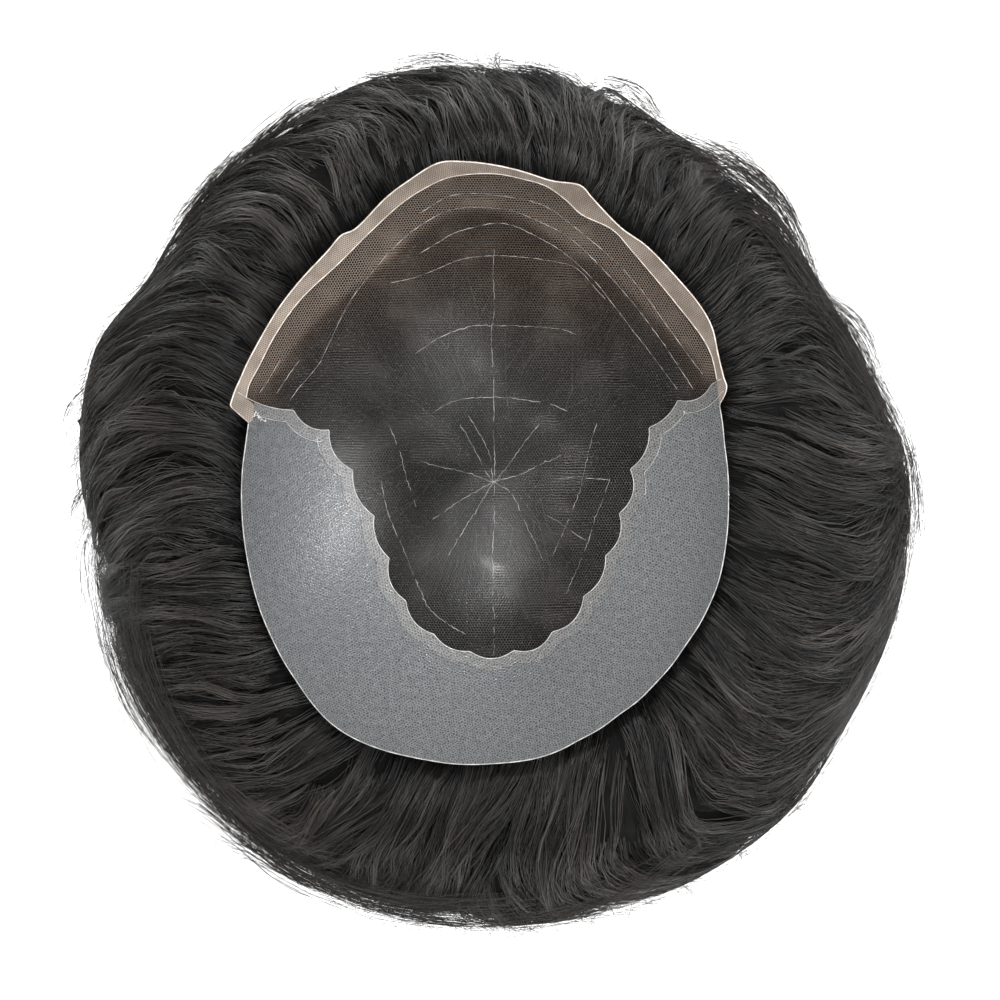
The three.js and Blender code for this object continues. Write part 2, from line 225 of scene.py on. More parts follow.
def inside(points, loops):
    """Even-odd test of points against closed loops."""
    hit = np.zeros(len(points), bool)
    x, y = points[:, 0], points[:, 1]
    for loop in loops:
        a, b = loop, np.roll(loop, -1, axis=0)
        for (ax, ay), (bx, by) in zip(a, b):
            if ay != by:
                cross = ((ay > y) != (by > y)) & (x < (bx - ax) * (y - ay) / (by - ay) + ax)
                hit ^= cross
    return hit


def resample(line, step, closed=False):
    line = np.asarray(line, float)
    if closed:
        line = np.vstack([line, line[:1]])
    seg = np.linalg.norm(np.diff(line, axis=0), axis=1)
    at = np.r_[0, np.cumsum(seg)]
    n = max(2, int(round(at[-1] / step)))
    want = np.linspace(0, at[-1], n + 1)
    out = np.column_stack([np.interp(want, at, line[:, i]) for i in range(line.shape[1])])
    return out[:-1] if closed else out


def rounded(line, step=1.0, closed=False, keep=()):
    """A smooth curve through the points. Those numbered in keep stay sharp."""
    p = np.asarray(line, float)
    n = len(p)
    runs = []
    last = n if closed else n - 1
    for i in range(last):
        a, b = p[i], p[(i + 1) % n]
        before = p[i - 1] if (closed or i > 0) and i not in keep else a - (b - a)
        j = (i + 1) % n
        after = p[(i + 2) % n] if (closed or i + 2 < n) and j not in keep else b + (b - a)
        d0, d1, d2 = (max(np.linalg.norm(v), 1e-6) ** 0.5 for v in (a - before, b - a, after - b))
        m1 = (b - a) + d1 * ((a - before) / d0 - (b - before) / (d0 + d1))
        m2 = (b - a) + d1 * ((after - b) / d2 - (after - a) / (d1 + d2))
        u = np.linspace(0, 1, 12, endpoint=False)[:, None]
        runs.append(
            a * (2 * u**3 - 3 * u**2 + 1) + m1 * (u**3 - 2 * u**2 + u) + b * (3 * u**2 - 2 * u**3) + m2 * (u**3 - u**2)
        )
    if not closed:
        runs.append(p[-1:])
    return resample(np.vstack(runs), step, closed)


def distance_to(points, loops):
    """Least distance from each point to the loops."""
    best = np.full(len(points), 1e9)
    for loop in loops:
        a, b = loop, np.roll(loop, -1, axis=0)
        for p, q in zip(a, b):
            d = q - p
            t = np.clip(((points - p) @ d) / max(d @ d, 1e-9), 0, 1)
            best = np.minimum(best, np.linalg.norm(points - p - t[:, None] * d, axis=1))
    return best


def net_place(xy):
    """Where a point of the bowl lies on the cloth, so that the net's cells stay even up the slope."""
    r = np.hypot(xy[:, 0], xy[:, 1])
    az = np.degrees(np.arctan2(xy[:, 1], xy[:, 0]))
    share = np.clip(r / bowl_reach(az), 0, 1.1) * math.sin(FLARE)
    stretch = np.where(share < 1e-3, 1.0, np.arcsin(np.minimum(share, 0.97)) / np.maximum(share, 1e-3))
    return xy * (1 + 0.5 * (stretch - 1))[:, None]


def shell(name, loops, depth, thick, step, material, shade=None, edge_step=1.2):
    """A thin closed cloth over the region inside the loops, laid on the bowl."""
    loops = [resample(l, edge_step, True) for l in loops]
    everything = np.vstack(loops)
    lo, hi = everything.min(0), everything.max(0)
    gx, gy = np.meshgrid(np.arange(lo[0], hi[0], step), np.arange(lo[1], hi[1], step * 0.866))
    gx = gx + (np.arange(gx.shape[0]) % 2)[:, None] * step / 2
    grid = np.column_stack([gx.ravel(), gy.ravel()])
    grid = grid[inside(grid, loops)]
    if len(grid):
        grid = grid[distance_to(grid, loops) > 0.55 * step]
    edges, start = [], 0
    for l in loops:
        n = len(l)
        edges += [(start + i, start + (i + 1) % n) for i in range(n)]
        start += n
    pts = np.vstack([everything, grid]) if len(grid) else everything
    from mathutils import Vector

    v, _, f, *_ = delaunay_2d_cdt([Vector(p) for p in pts], edges, [], 0, 1e-6)
    v = np.array([tuple(p) for p in v])
    f = np.array([t for t in f if len(t) == 3])
    f = f[inside(v[f].mean(1), loops)]
    a, b, c = v[f[:, 0]], v[f[:, 1]], v[f[:, 2]]
    turn = (b[:, 0] - a[:, 0]) * (c[:, 1] - a[:, 1]) - (b[:, 1] - a[:, 1]) * (c[:, 0] - a[:, 0])
    f = f[np.abs(turn) > 1e-5]
    turn = turn[np.abs(turn) > 1e-5]
    f[turn < 0] = f[turn < 0][:, ::-1]
    used = np.unique(f)
    back = np.full(len(v), -1)
    back[used] = np.arange(len(used))
    v, f = v[used], back[f]
    n = len(v)
    top, bottom = on_bowl(v, depth), on_bowl(v, np.asarray(depth) + thick)
    e = np.vstack([f[:, [0, 1]], f[:, [1, 2]], f[:, [2, 0]]])
    key = np.sort(e, axis=1)
    _, first, count = np.unique(key, axis=0, return_index=True, return_counts=True)
    rim = e[first[count == 1]]
    walls = np.column_stack([rim[:, 1], rim[:, 0], rim[:, 0] + n, rim[:, 1] + n])
    faces = [f, f[:, ::-1] + n, walls]
    place = np.vstack([net_place(v)] * 2)
    corner = np.concatenate([x.ravel() for x in faces])
    attrs = {}
    if shade is not None:
        attrs["shade"] = np.tile(shade(v), 2)
    obj = add_mesh(name, np.vstack([top, bottom]), faces, material, {"net": place[corner]}, attrs)
    on_rim = np.zeros(2 * n, bool)
    on_rim[rim.ravel()] = on_rim[rim.ravel() + n] = True
    ends = np.empty(2 * len(obj.data.edges), np.int32)
    obj.data.edges.foreach_get("vertices", ends)
    ends = ends.reshape(-1, 2)
    crisp = obj.data.attributes.new("sharp_edge", "BOOLEAN", "EDGE")
    crisp.data.foreach_set("value", on_rim[ends].all(1) & ((ends < n).all(1) | (ends >= n).all(1)))
    return obj


def frames(paths):
    """Two directions across each path, (N, P, 3), turned as little as can be from one point to the next."""
    along = np.gradient(paths, axis=1)
    along /= np.maximum(np.linalg.norm(along, axis=2, keepdims=True), 1e-9)
    up = np.zeros_like(along[:, 0]) + [0, 0, 1.0]
    flat = np.abs(along[:, 0, 2]) > 0.95
    up[flat] = [1.0, 0, 0]
    one = np.cross(up, along[:, 0])
    one /= np.maximum(np.linalg.norm(one, axis=1, keepdims=True), 1e-9)
    out = [one]
    for i in range(1, paths.shape[1]):
        t = along[:, i]
        one = one - (one * t).sum(1, keepdims=True) * t
        one /= np.maximum(np.linalg.norm(one, axis=1, keepdims=True), 1e-9)
        out.append(one)
    one = np.stack(out, 1)
    return one, np.cross(along, one)


def strands(paths, radii, sides=3, turn=None):
    """Closed tubes round the paths, pointed at the tip. paths (N, P, 3), radii (N, P). Returns verts, faces, corner uv, strand numbers."""
    n, p, _ = paths.shape
    one, two = frames(paths)
    ang = np.arange(sides) * 2 * math.pi / sides
    start = np.zeros(n) if turn is None else turn
    a = ang[None, :] + start[:, None]
    ring = (
        paths[:, :-1, None, :]
        + radii[:, :-1, None, None]
        * (np.cos(a)[:, None, :, None] * one[:, :-1, None, :] + np.sin(a)[:, None, :, None] * two[:, :-1, None, :])
    )
    per = (p - 1) * sides + 1
    verts = np.concatenate([ring.reshape(n, (p - 1) * sides, 3), paths[:, -1:, :]], axis=1).reshape(-1, 3)
    quads, tris = [], []
    for i in range(p - 2):
        for s in range(sides):
            t = (s + 1) % sides
            quads.append((i * sides + s, i * sides + t, (i + 1) * sides + t, (i + 1) * sides + s))
    tip = (p - 1) * sides
    for s in range(sides):
        tris.append(((p - 2) * sides + s, (p - 2) * sides + (s + 1) % sides, tip))
    caps = [tuple(range(sides))[::-1]]
    base = (np.arange(n) * per)[:, None, None]
    faces = [(np.array(x)[None] + base).reshape(-1, len(x[0])) for x in (quads, tris, caps)]
    # one cell of the map for each strand, along it and round it
    wide = math.ceil(math.sqrt(n))
    cell = np.column_stack([np.arange(n) % wide, np.arange(n) // wide]) / wide

    def corner_uv(kind):
        rows = []
        if kind == 0:
            for i in range(p - 2):
                for s in range(sides):
                    rows += [(s, i), (s + 1, i), (s + 1, i + 1), (s, i + 1)]
        elif kind == 1:
            for s in range(sides):
                rows += [(s, p - 2), (s + 1, p - 2), (s + 0.5, p - 1)]
        else:
            rows = [(s, -0.4 if s == 1 else 0) for s in range(sides)][::-1]
        r = np.array(rows, float)
        r = (r + [0.3, 0.6]) / [sides + 0.6, p - 1 + 0.9]
        return (cell[:, None, :] + r[None] / wide).reshape(-1, 2)

    uv = np.vstack([corner_uv(k) for k in range(3)])
    return verts, faces, uv, np.repeat(np.arange(n), per)


def tube(line, radius, sides=6, closed=False, taper=0.0):
    """A closed tube along one line of points in mm. Returns verts and faces."""
    p = np.asarray(line, float)
    n = len(p)
    if closed:
        along = np.roll(p, -1, 0) - np.roll(p, 1, 0)
    else:
        along = np.gradient(p, axis=0)
    along /= np.maximum(np.linalg.norm(along, axis=1, keepdims=True), 1e-9)
    out = normals(p[:, 0], p[:, 1])
    side = np.cross(along, out)
    side /= np.linalg.norm(side, axis=1, keepdims=True)
    out = np.cross(side, along)
    r = np.full(n, float(radius)) if np.isscalar(radius) else np.asarray(radius, float)
    if taper and not closed:
        u = np.linspace(0, 1, n)
        r = r * (1 - taper * np.abs(2 * u - 1) ** 4)
    a = np.arange(sides) * 2 * math.pi / sides
    ring = p[:, None] + r[:, None, None] * (np.cos(a)[None, :, None] * side[:, None] + np.sin(a)[None, :, None] * out[:, None])
    verts = ring.reshape(-1, 3)
    i = np.arange(n if closed else n - 1)[:, None]
    s = np.arange(sides)[None]
    j, t = (i + 1) % n, (s + 1) % sides
    quads = np.stack([i * sides + s, j * sides + s, j * sides + t, i * sides + t], -1).reshape(-1, 4)
    faces = [quads]
    if not closed:
        ends = [tuple(range(sides)), tuple((n - 1) * sides + np.arange(sides)[::-1])]
        faces.append(np.array(ends))
    return verts, faces


def joined(parts):
    verts, faces, at = [], {}, 0
    for v, fs in parts:
        verts.append(v)
        for f in fs:
            faces.setdefault(f.shape[1], []).append(f + at)
        at += len(v)
    return np.vstack(verts), [np.vstack(f) for f in faces.values()]


# ------------------------------------------------------------------ materials


class Nodes:
    def __init__(self, name):
        self.material = bpy.data.materials.new(name)
        self.material.use_nodes = True
        self.tree = self.material.node_tree
        self.shader = self.tree.nodes["Principled BSDF"]

    def put(self, socket, value):
        if isinstance(value, bpy.types.NodeSocket):
            self.tree.links.new(value, socket)
        elif value is not None:
            socket.default_value = value

    def set(self, **values):
        for key, value in values.items():
            self.put(self.shader.inputs[key.replace("_", " ")], value)
        return self

    def math(self, how, a, b=None, c=None):
        n = self.tree.nodes.new("ShaderNodeMath")
        n.operation = how
        for i, v in enumerate((a, b, c)):
            self.put(n.inputs[i], v)
        return n.outputs[0]

    def vector(self, how, a, b=None, c=None, out=0):
        n = self.tree.nodes.new("ShaderNodeVectorMath")
        n.operation = how
        for i, v in enumerate((a, b, c)):
            self.put(n.inputs[i], v)
        return n.outputs[out]

    def ramp(self, x, low, high, to_low=0.0, to_high=1.0, smooth=True):
        n = self.tree.nodes.new("ShaderNodeMapRange")
        n.interpolation_type = "SMOOTHSTEP" if smooth else "LINEAR"
        for i, v in enumerate((x, low, high, to_low, to_high)):
            self.put(n.inputs[i], v)
        return n.outputs[0]

    def mix(self, how_much, a, b, kind="RGBA", blend="MIX"):
        n = self.tree.nodes.new("ShaderNodeMix")
        n.data_type = kind
        if kind == "RGBA":
            n.blend_type = blend
        at = {"FLOAT": 2, "VECTOR": 4, "RGBA": 6}[kind]
        self.put(n.inputs[0], how_much)
        self.put(n.inputs[at], a)
        self.put(n.inputs[at + 1], b)
        return n.outputs[{"FLOAT": 0, "VECTOR": 1, "RGBA": 2}[kind]]

    def uv(self, name):
        n = self.tree.nodes.new("ShaderNodeUVMap")
        n.uv_map = name
        return n.outputs[0]

    def place(self):
        return self.tree.nodes.new("ShaderNodeTexCoord").outputs["Object"]

    def attribute(self, name):
        n = self.tree.nodes.new("ShaderNodeAttribute")
        n.attribute_name = name
        return n.outputs["Fac"]

    def noise(self, where, scale, detail=2.0, colour=False, distortion=0.0):
        n = self.tree.nodes.new("ShaderNodeTexNoise")
        self.put(n.inputs["Vector"], where)
        n.inputs["Scale"].default_value = scale
        n.inputs["Detail"].default_value = detail
        n.inputs["Distortion"].default_value = distortion
        return n.outputs["Color" if colour else 0]

    def split(self, vec):
        n = self.tree.nodes.new("ShaderNodeSeparateXYZ")
        self.put(n.inputs[0], vec)
        return n.outputs

    def bump(self, height_, strength, distance):
        n = self.tree.nodes.new("ShaderNodeBump")
        n.inputs["Strength"].default_value = strength
        n.inputs["Distance"].default_value = distance
        self.put(n.inputs["Height"], height_)
        self.put(self.shader.inputs["Normal"], n.outputs[0])

    def hexes(self, where, pitch, wander=0.08, turn=0.0):
        """Place inside a hexagonal cell of that pitch: how far to its edge line, 0 to 0.5, and to its middle."""
        wobble = self.vector("SCALE", self.vector("SUBTRACT", self.noise(where, 0.35, 2.0, True), (0.5, 0.5, 0.5)), None)
        wobble.node.inputs["Scale"].default_value = wander * 8
        p = self.vector("ADD", where, wobble)
        if turn:
            r = self.tree.nodes.new("ShaderNodeVectorRotate")
            r.rotation_type = "Z_AXIS"
            self.put(r.inputs["Vector"], p)
            r.inputs["Angle"].default_value = turn
            p = r.outputs[0]
        p = self.vector("MULTIPLY", p, (1 / pitch, 1 / pitch, 0))
        h = (0.5, math.sqrt(3) / 2, 1.0)
        m = tuple(-v for v in h)
        a = self.vector("WRAP", p, h, m)
        b = self.vector("WRAP", self.vector("ADD", p, h), h, m)
        flat = (1, 1, 0)
        a, b = self.vector("MULTIPLY", a, flat), self.vector("MULTIPLY", b, flat)
        la, lb = self.vector("LENGTH", a, out=1), self.vector("LENGTH", b, out=1)
        g = self.mix(self.math("LESS_THAN", la, lb), b, a, "VECTOR")
        x, y, _ = self.split(self.vector("ABSOLUTE", g))
        slant = self.math("ADD", self.math("MULTIPLY", x, 0.5), self.math("MULTIPLY", y, 0.8660254))
        return self.math("MAXIMUM", x, slant), self.math("MINIMUM", la, lb)


def lace_material():
    m = Nodes("lace_net")
    where = m.uv("net")
    edge, _ = m.hexes(where, 1.0, 0.09)
    _, y, _ = m.split(where)
    front = m.attribute("shade")
    # in places the net is pulled into rows
    bent = m.math("ADD", y, m.math("MULTIPLY", m.noise(where, 0.2, 2.0), 1.2))
    rows = m.ramp(m.math("SINE", m.math("MULTIPLY", bent, 2 * math.pi / 0.95)), 0.0, 0.9)
    pulled = m.ramp(m.noise(where, 0.05, 2.0), 0.47, 0.66, 0.0, 0.8)
    cells = m.ramp(edge, 0.375, 0.455)
    thread = m.mix(pulled, cells, m.math("MAXIMUM", m.math("MULTIPLY", cells, 0.55), rows), "FLOAT")
    patch = m.noise(where, 0.06, 3.0)
    grey = m.mix(m.ramp(patch, 0.3, 0.7), (0.0195, 0.0183, 0.0175, 1), (0.040, 0.0378, 0.0365, 1))
    tan = m.mix(m.ramp(patch, 0.35, 0.65), (0.066, 0.046, 0.035, 1), (0.092, 0.070, 0.054, 1))
    colour = m.mix(m.ramp(front, 0.0, 0.7, smooth=False), grey, tan)
    colour = m.mix(m.ramp(front, 0.66, 1.0), colour, (0.20, 0.158, 0.128, 1))
    fleck = m.noise(where, 1.3, 3.0)
    colour = m.mix(m.ramp(fleck, 0.5, 0.72, 0.0, 0.55), colour, (0.17, 0.163, 0.157, 1))
    m.set(Base_Color=colour, Roughness=m.ramp(fleck, 0.3, 0.7, 0.33, 0.17), Alpha=m.math("MULTIPLY", thread, 0.95))
    m.shader.inputs["Specular IOR Level"].default_value = 0.46
    m.bump(m.ramp(edge, 0.36, 0.5), 0.5, 0.00003)
    return m.material


def strip_material():
    m = Nodes("folded_lace")
    where = m.uv("net")
    edge, _ = m.hexes(where, 0.82, 0.05, 0.4)
    thread = m.ramp(edge, 0.30, 0.44)
    patch = m.noise(where, 0.12, 3.0)
    colour = m.mix(m.ramp(patch, 0.3, 0.7), (0.29, 0.24, 0.20, 1), (0.43, 0.365, 0.31, 1))
    colour = m.mix(thread, m.mix(0.5, colour, (0.2, 0.15, 0.12, 1)), colour)
    m.set(Base_Color=colour, Roughness=0.5, Alpha=m.ramp(thread, 0, 1, 0.4, 0.92, False))
    m.bump(thread, 0.5, 0.0001)
    return m.material


def film_material(name, dim, clear, grain_size, tint):
    """Thin film over net: dark pinholes of uneven strength, mottled, with a broken shine."""
    m = Nodes(name)
    where = m.uv("net")
    _, middle = m.hexes(where, 1.08, 0.24, 0.35)
    dot = m.ramp(middle, 0.19, 0.47, 1.0, 0.0)
    strength = m.ramp(m.noise(where, 0.9, 3.0), 0.36, 0.58, 0.45, 1.0)
    pits = m.math("MULTIPLY", dot, strength)
    grain = m.noise(where, grain_size, 3.0)
    shade = m.attribute("shade")
    patch = m.ramp(m.noise(where, 0.4, 4.0), 0.3, 0.7)
    # shade: the film's brightness over the base, lighter towards the bottom and outer rim, with painted light on the
    # right side and painted shade on the left
    colour = m.mix(shade, m.mix(patch, (*dim[0], 1), (*dim[1], 1)), m.mix(patch, (*clear[0], 1), (*clear[1], 1)))
    colour = m.mix(m.ramp(grain, 0.47, 0.33, 0.0, 0.62), colour, (0.035, 0.037, 0.040, 1))
    colour = m.mix(m.ramp(grain, 0.56, 0.72, 0.0, 0.7), colour, (*tint, 1))
    colour = m.mix(m.math("MULTIPLY", pits, 0.85), colour, (0.024, 0.026, 0.029, 1))
    m.set(Base_Color=colour, Roughness=m.ramp(grain, 0.38, 0.62, 0.38, 0.13))
    m.shader.inputs["Specular IOR Level"].default_value = 0.5
    m.bump(m.math("SUBTRACT", grain, pits), 0.6, 0.00014)
    return m.material


def seam_material():
    return film_material(
        "glued_lap", [(0.140, 0.140, 0.139), (0.180, 0.179, 0.176)], [(0.150, 0.148, 0.145), (0.190, 0.187, 0.182)], 2.4,
        (0.40, 0.39, 0.375),
    )


def skin_material():
    return film_material(
        "poly_film", [(0.100, 0.105, 0.109), (0.136, 0.141, 0.145)], [(0.150, 0.154, 0.157), (0.188, 0.191, 0.192)], 2.0,
        (0.27, 0.275, 0.28),
    )


def thread_material(name, dark, light, rough=0.5):
    m = Nodes(name)
    where = m.place()
    colour = m.mix(m.ramp(m.noise(where, 350, 3.0), 0.36, 0.64), (*dark, 1), (*light, 1))
    m.set(Base_Color=colour, Roughness=rough)
    m.bump(m.noise(where, 2500, 2.0), 0.3, 0.0001)
    return m.material


def hair_material(name, dark, light, rough):
    m = Nodes(name)
    # tone: painted light and shade on the locks, and tone that differs at random on the edge, loose and under-net
    # hairs; it runs from the dark colour to the light one
    tone = m.attribute("tone")
    along = m.noise(m.place(), 60, 2.0)
    colour = m.mix(tone, (*dark, 1), (*light, 1))
    colour = m.mix(m.ramp(along, 0.4, 0.7, 0.0, 0.5), colour, (dark[0] * 0.6, dark[1] * 0.6, dark[2] * 0.6, 1))
    m.set(Base_Color=colour, Roughness=m.ramp(along, 0.3, 0.7, rough - 0.05, rough + 0.06))
    m.shader.inputs["Specular IOR Level"].default_value = 0.36
    return m.material


def deep_hair_material():
    """The hair behind the loose strands, as fine streaks that follow its lie."""
    m = Nodes("hair_mass")
    u, v, _ = m.split(m.uv("lie"))
    thin = m.tree.nodes.new("ShaderNodeCombineXYZ")
    m.put(thin.inputs[0], m.math("MULTIPLY", u, 2.6))
    m.put(thin.inputs[1], m.math("MULTIPLY", v, 0.05))
    broad = m.tree.nodes.new("ShaderNodeCombineXYZ")
    m.put(broad.inputs[0], m.math("MULTIPLY", u, 0.42))
    m.put(broad.inputs[1], m.math("MULTIPLY", v, 0.03))
    fine, wide = m.noise(thin.outputs[0], 1.0, 2.0), m.noise(broad.outputs[0], 1.0, 1.0)
    both = m.math("MULTIPLY", m.ramp(fine, 0.35, 0.68), m.ramp(wide, 0.3, 0.7, 0.35, 1.0))
    m.set(Base_Color=m.mix(both, (0.0012, 0.0011, 0.001, 1), (0.005, 0.0047, 0.0044, 1)), Roughness=m.ramp(both, 0, 1, 0.8, 0.6, False))
    m.shader.inputs["Specular IOR Level"].default_value = 0.1
    m.bump(both, 1.0, 0.0007)
    return m.material


LACE, STRIP, SEAM, SKIN = lace_material(), strip_material(), seam_material(), skin_material()
THREAD = thread_material("stitch_thread", (0.10, 0.09, 0.08), (0.44, 0.41, 0.38))
FINE = thread_material("net_thread", (0.09, 0.088, 0.085), (0.40, 0.39, 0.38))
BEAD = thread_material("cream_bead", (0.40, 0.345, 0.295), (0.62, 0.56, 0.50), 0.45)
KNOT = thread_material("knot_thread", (0.42, 0.41, 0.395), (0.74, 0.72, 0.69), 0.4)
DARK = thread_material("lap_shadow", (0.03, 0.03, 0.03), (0.10, 0.10, 0.10), 0.5)
RIM = thread_material("film_rim", (0.22, 0.22, 0.218), (0.42, 0.416, 0.405), 0.35)
LAP = thread_material("lap_bead", (0.34, 0.34, 0.335), (0.54, 0.535, 0.52), 0.3)
HAIR = hair_material("hair", (0.0030, 0.0028, 0.0027), (0.066, 0.059, 0.053), 0.43)
EDGE = hair_material("hair_edge", (0.005, 0.0045, 0.004), (0.024, 0.019, 0.014), 0.5)
DEEP = hair_material("hair_under_net", (0.004, 0.0036, 0.0032), (0.012, 0.009, 0.007), 0.5)
DEEP.node_tree.nodes["Principled BSDF"].inputs["Specular IOR Level"].default_value = 0.2
MASS = deep_hair_material()

# ------------------------------------------------------------------ the base

FRONT_EDGE = seen_at(
    (249, 423), (230, 406), (235, 391), (240, 380), (249, 360), (277, 311), (300, 281), (327, 252), (342, 235), (354, 230),
    (386, 198), (407, 182), (439, 163), (466, 162), (493, 165), (520, 171), (552, 181), (581, 186), (592, 198),
    (621, 228), (646, 246), (675, 276), (700, 306), (712, 328), (718, 355), (724, 379), (726.5, 386), (725, 394),
    (719, 405),
)
FOLD = seen_at(
    (246, 398), (249, 385), (259, 366), (275, 335), (300, 300), (340, 262), (370, 232), (402, 203), (425, 188), (447, 178),
    (472, 174), (498, 174), (523, 179), (546, 186), (566, 200), (581, 214), (613, 230), (633, 252), (651, 273),
    (675, 302), (702, 337), (711, 354), (715, 369), (717, 380),
)
SKIN_EDGE = seen_at(
    (249, 423), (246, 445), (243, 469), (242, 500), (244, 533), (248, 560), (253, 584), (261, 611), (271, 635),
    (283, 659), (297, 681), (311, 701), (327, 719), (344, 732), (363, 742), (385, 750), (409, 756), (430, 760),
    (450, 763), (473, 764), (495, 763), (518, 761), (539, 757), (559, 750), (578, 740), (600, 728), (619, 714),
    (638, 700), (654, 684), (671, 665), (685, 645), (699, 624), (710, 602), (718, 581), (723, 559), (727, 528),
    (728, 495), (727, 469), (724, 444), (722, 424), (719, 405),
)

arcs = []
for (ax, ay, _), (bx, by, sag) in zip(SCALLOPS, SCALLOPS[1:]):
    d = np.array([bx - ax, by - ay])
    side = np.array([d[1], -d[0]]) / np.linalg.norm(d)
    for u in np.linspace(0, 1, 12, endpoint=False):
        arcs.append(np.array([ax, ay]) + d * u + side * 4 * u * (1 - u) * sag)
scallop = resample(np.array(arcs + [np.array(SCALLOPS[-1][:2], float)]), 0.8)


def beside(line, by, reach=4):
    """The line moved to its right."""
    d = np.gradient(line, axis=0)
    kernel = np.hanning(2 * reach + 3)[1:-1]
    kernel /= kernel.sum()
    d = np.column_stack([np.convolve(np.pad(d[:, i], reach, mode="edge"), kernel, "valid") for i in (0, 1)])
    d /= np.linalg.norm(d, axis=1, keepdims=True)
    return line + np.column_stack([d[:, 1], -d[:, 0]]) * np.reshape(by, (-1, 1))


lap = beside(scallop, 4.0, 5)
front = rounded(FRONT_EDGE, 1.0, keep=(0, 1, len(FRONT_EDGE) - 1))
fold = rounded(FOLD, 1.0)
skin_rim = rounded(SKIN_EDGE, 1.0)
keep_in = np.vstack([front, skin_rim[::-1]])  # the whole outline, clockwise


def clip_line(line, margin=0.4):
    ok = inside(line, [keep_in]) & (distance_to(line, [keep_in]) > margin)
    return line[ok]


left_end = seen_at((254, 405))[0, 0]
scallop_in = clip_line(scallop, 0.3)
scallop_seam = scallop_in[scallop_in[:, 0] > left_end]
lap_in = clip_line(lap, 0.3)
lap_in = lap_in[lap_in[:, 0] > left_end]
strip_loop = np.vstack([front, fold[::-1], seen_at((255, 405), (253, 421))])
skin_loop = np.vstack([skin_rim, clip_line(beside(scallop, 2.0, 4), 0.2)[::-1]])
seam_loop = np.vstack([scallop_seam, lap_in[::-1]])
lace_front = rounded(FOLD, 1.0)
lace_front = beside(lace_front, -1.2)  # a little under the folded margin
lace_back = clip_line(beside(scallop, 1.2, 4), 0.3)
lace_loop = np.vstack([lace_front, lace_back[::-1]])


def front_tone(v):
    to_fold = np.linalg.norm(v[:, None] - fold[None, ::2], axis=2).min(1)
    near = 1 - smooth_step(to_fold, 2.0, 15.0)
    return np.clip(0.95 * near * smooth_step(v[:, 1], -5, 35) + 0.62 * smooth_step(v[:, 1], 20, 78) + 0.06 * np.sin(v[:, 0] / 17), 0, 1)


# The film's brightness, 0 to 1: lighter towards the bottom and towards the outer rim, with the right side painted
# lighter and the left side painted darker as painted light and shade.
def film_tone_and_painted_light(v):
    r = np.hypot(v[:, 0], v[:, 1])
    az = np.degrees(np.arctan2(v[:, 1], v[:, 0])) % 360
    share = r / bowl_reach(az)
    low = smooth_step(-v[:, 1], 10, 90)
    # painted light on the right side, painted shade on the left
    side = 0.85 * smooth_step(v[:, 0], 5, 75) - 0.25 * smooth_step(-v[:, 0], 0, 70)
    return np.clip(0.45 * smooth_step(share, 0.62, 1.0) * (0.35 + 0.65 * low) + 0.12 * low + side, 0, 1)


GRID = 2.2
lace = shell("lace", [lace_loop], 0.42, 0.22, GRID, LACE, front_tone)
strip = shell("lace_margin", [strip_loop], 0.02, 0.34, GRID, STRIP)
seam = shell("scalloped_lap", [seam_loop], 0.085, 0.30, GRID, SEAM, film_tone_and_painted_light)
skin = shell("poly_skin", [skin_loop], 0.12, 0.30, GRID, SKIN, film_tone_and_painted_light)

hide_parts("lace_cap")
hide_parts("front_lace_strip")
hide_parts("scallop_seam")
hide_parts("poly_band")


def lifted(line, above=0.0):
    return on_bowl(line, -above)


# beads and edges
parts = [tube(lifted(front, 0.0), 0.20), tube(lifted(fold, 0.04), 0.16)]
bead = add_mesh("margin_beads", *joined(parts), BEAD)
parts = [tube(lifted(skin_rim, -0.18), 0.18)]
film_rim = add_mesh("film_rim", *joined(parts), RIM)
parts = [tube(lifted(scallop_in, 0.02), 0.13)]
for side in (lap_in[lap_in[:, 0] < -56], lap_in[lap_in[:, 0] > 54]):
    if len(side) > 3:
        parts.append(tube(lifted(side, 0.0), 0.10, 5))
lap_edge = add_mesh("lap_edges", *joined(parts), LAP)
r = np.random.default_rng(17)
parts = []
for i in range(0, len(lap_in) - 3, 3):
    run = lap_in[i : i + 3] + r.normal(0, 0.1, 2)
    if r.uniform() < 0.8:
        parts.append(tube(lifted(resample(run, 0.5), -0.03), 0.10 * r.uniform(0.7, 1.1), 5))
lap_line = add_mesh("lap_line", *joined(parts), DARK)
# the thread tied off at the left corner
walk = np.cumsum(r.normal(0, 1, (46, 2)), 0)
walk = (walk - walk.mean(0)) / walk.std(0) * [1.15, 1.0] + seen_at((259, 417))
knot = add_mesh("corner_knot", *tube(lifted(rounded(walk, 0.5), 0.16), 0.12, 5), KNOT)

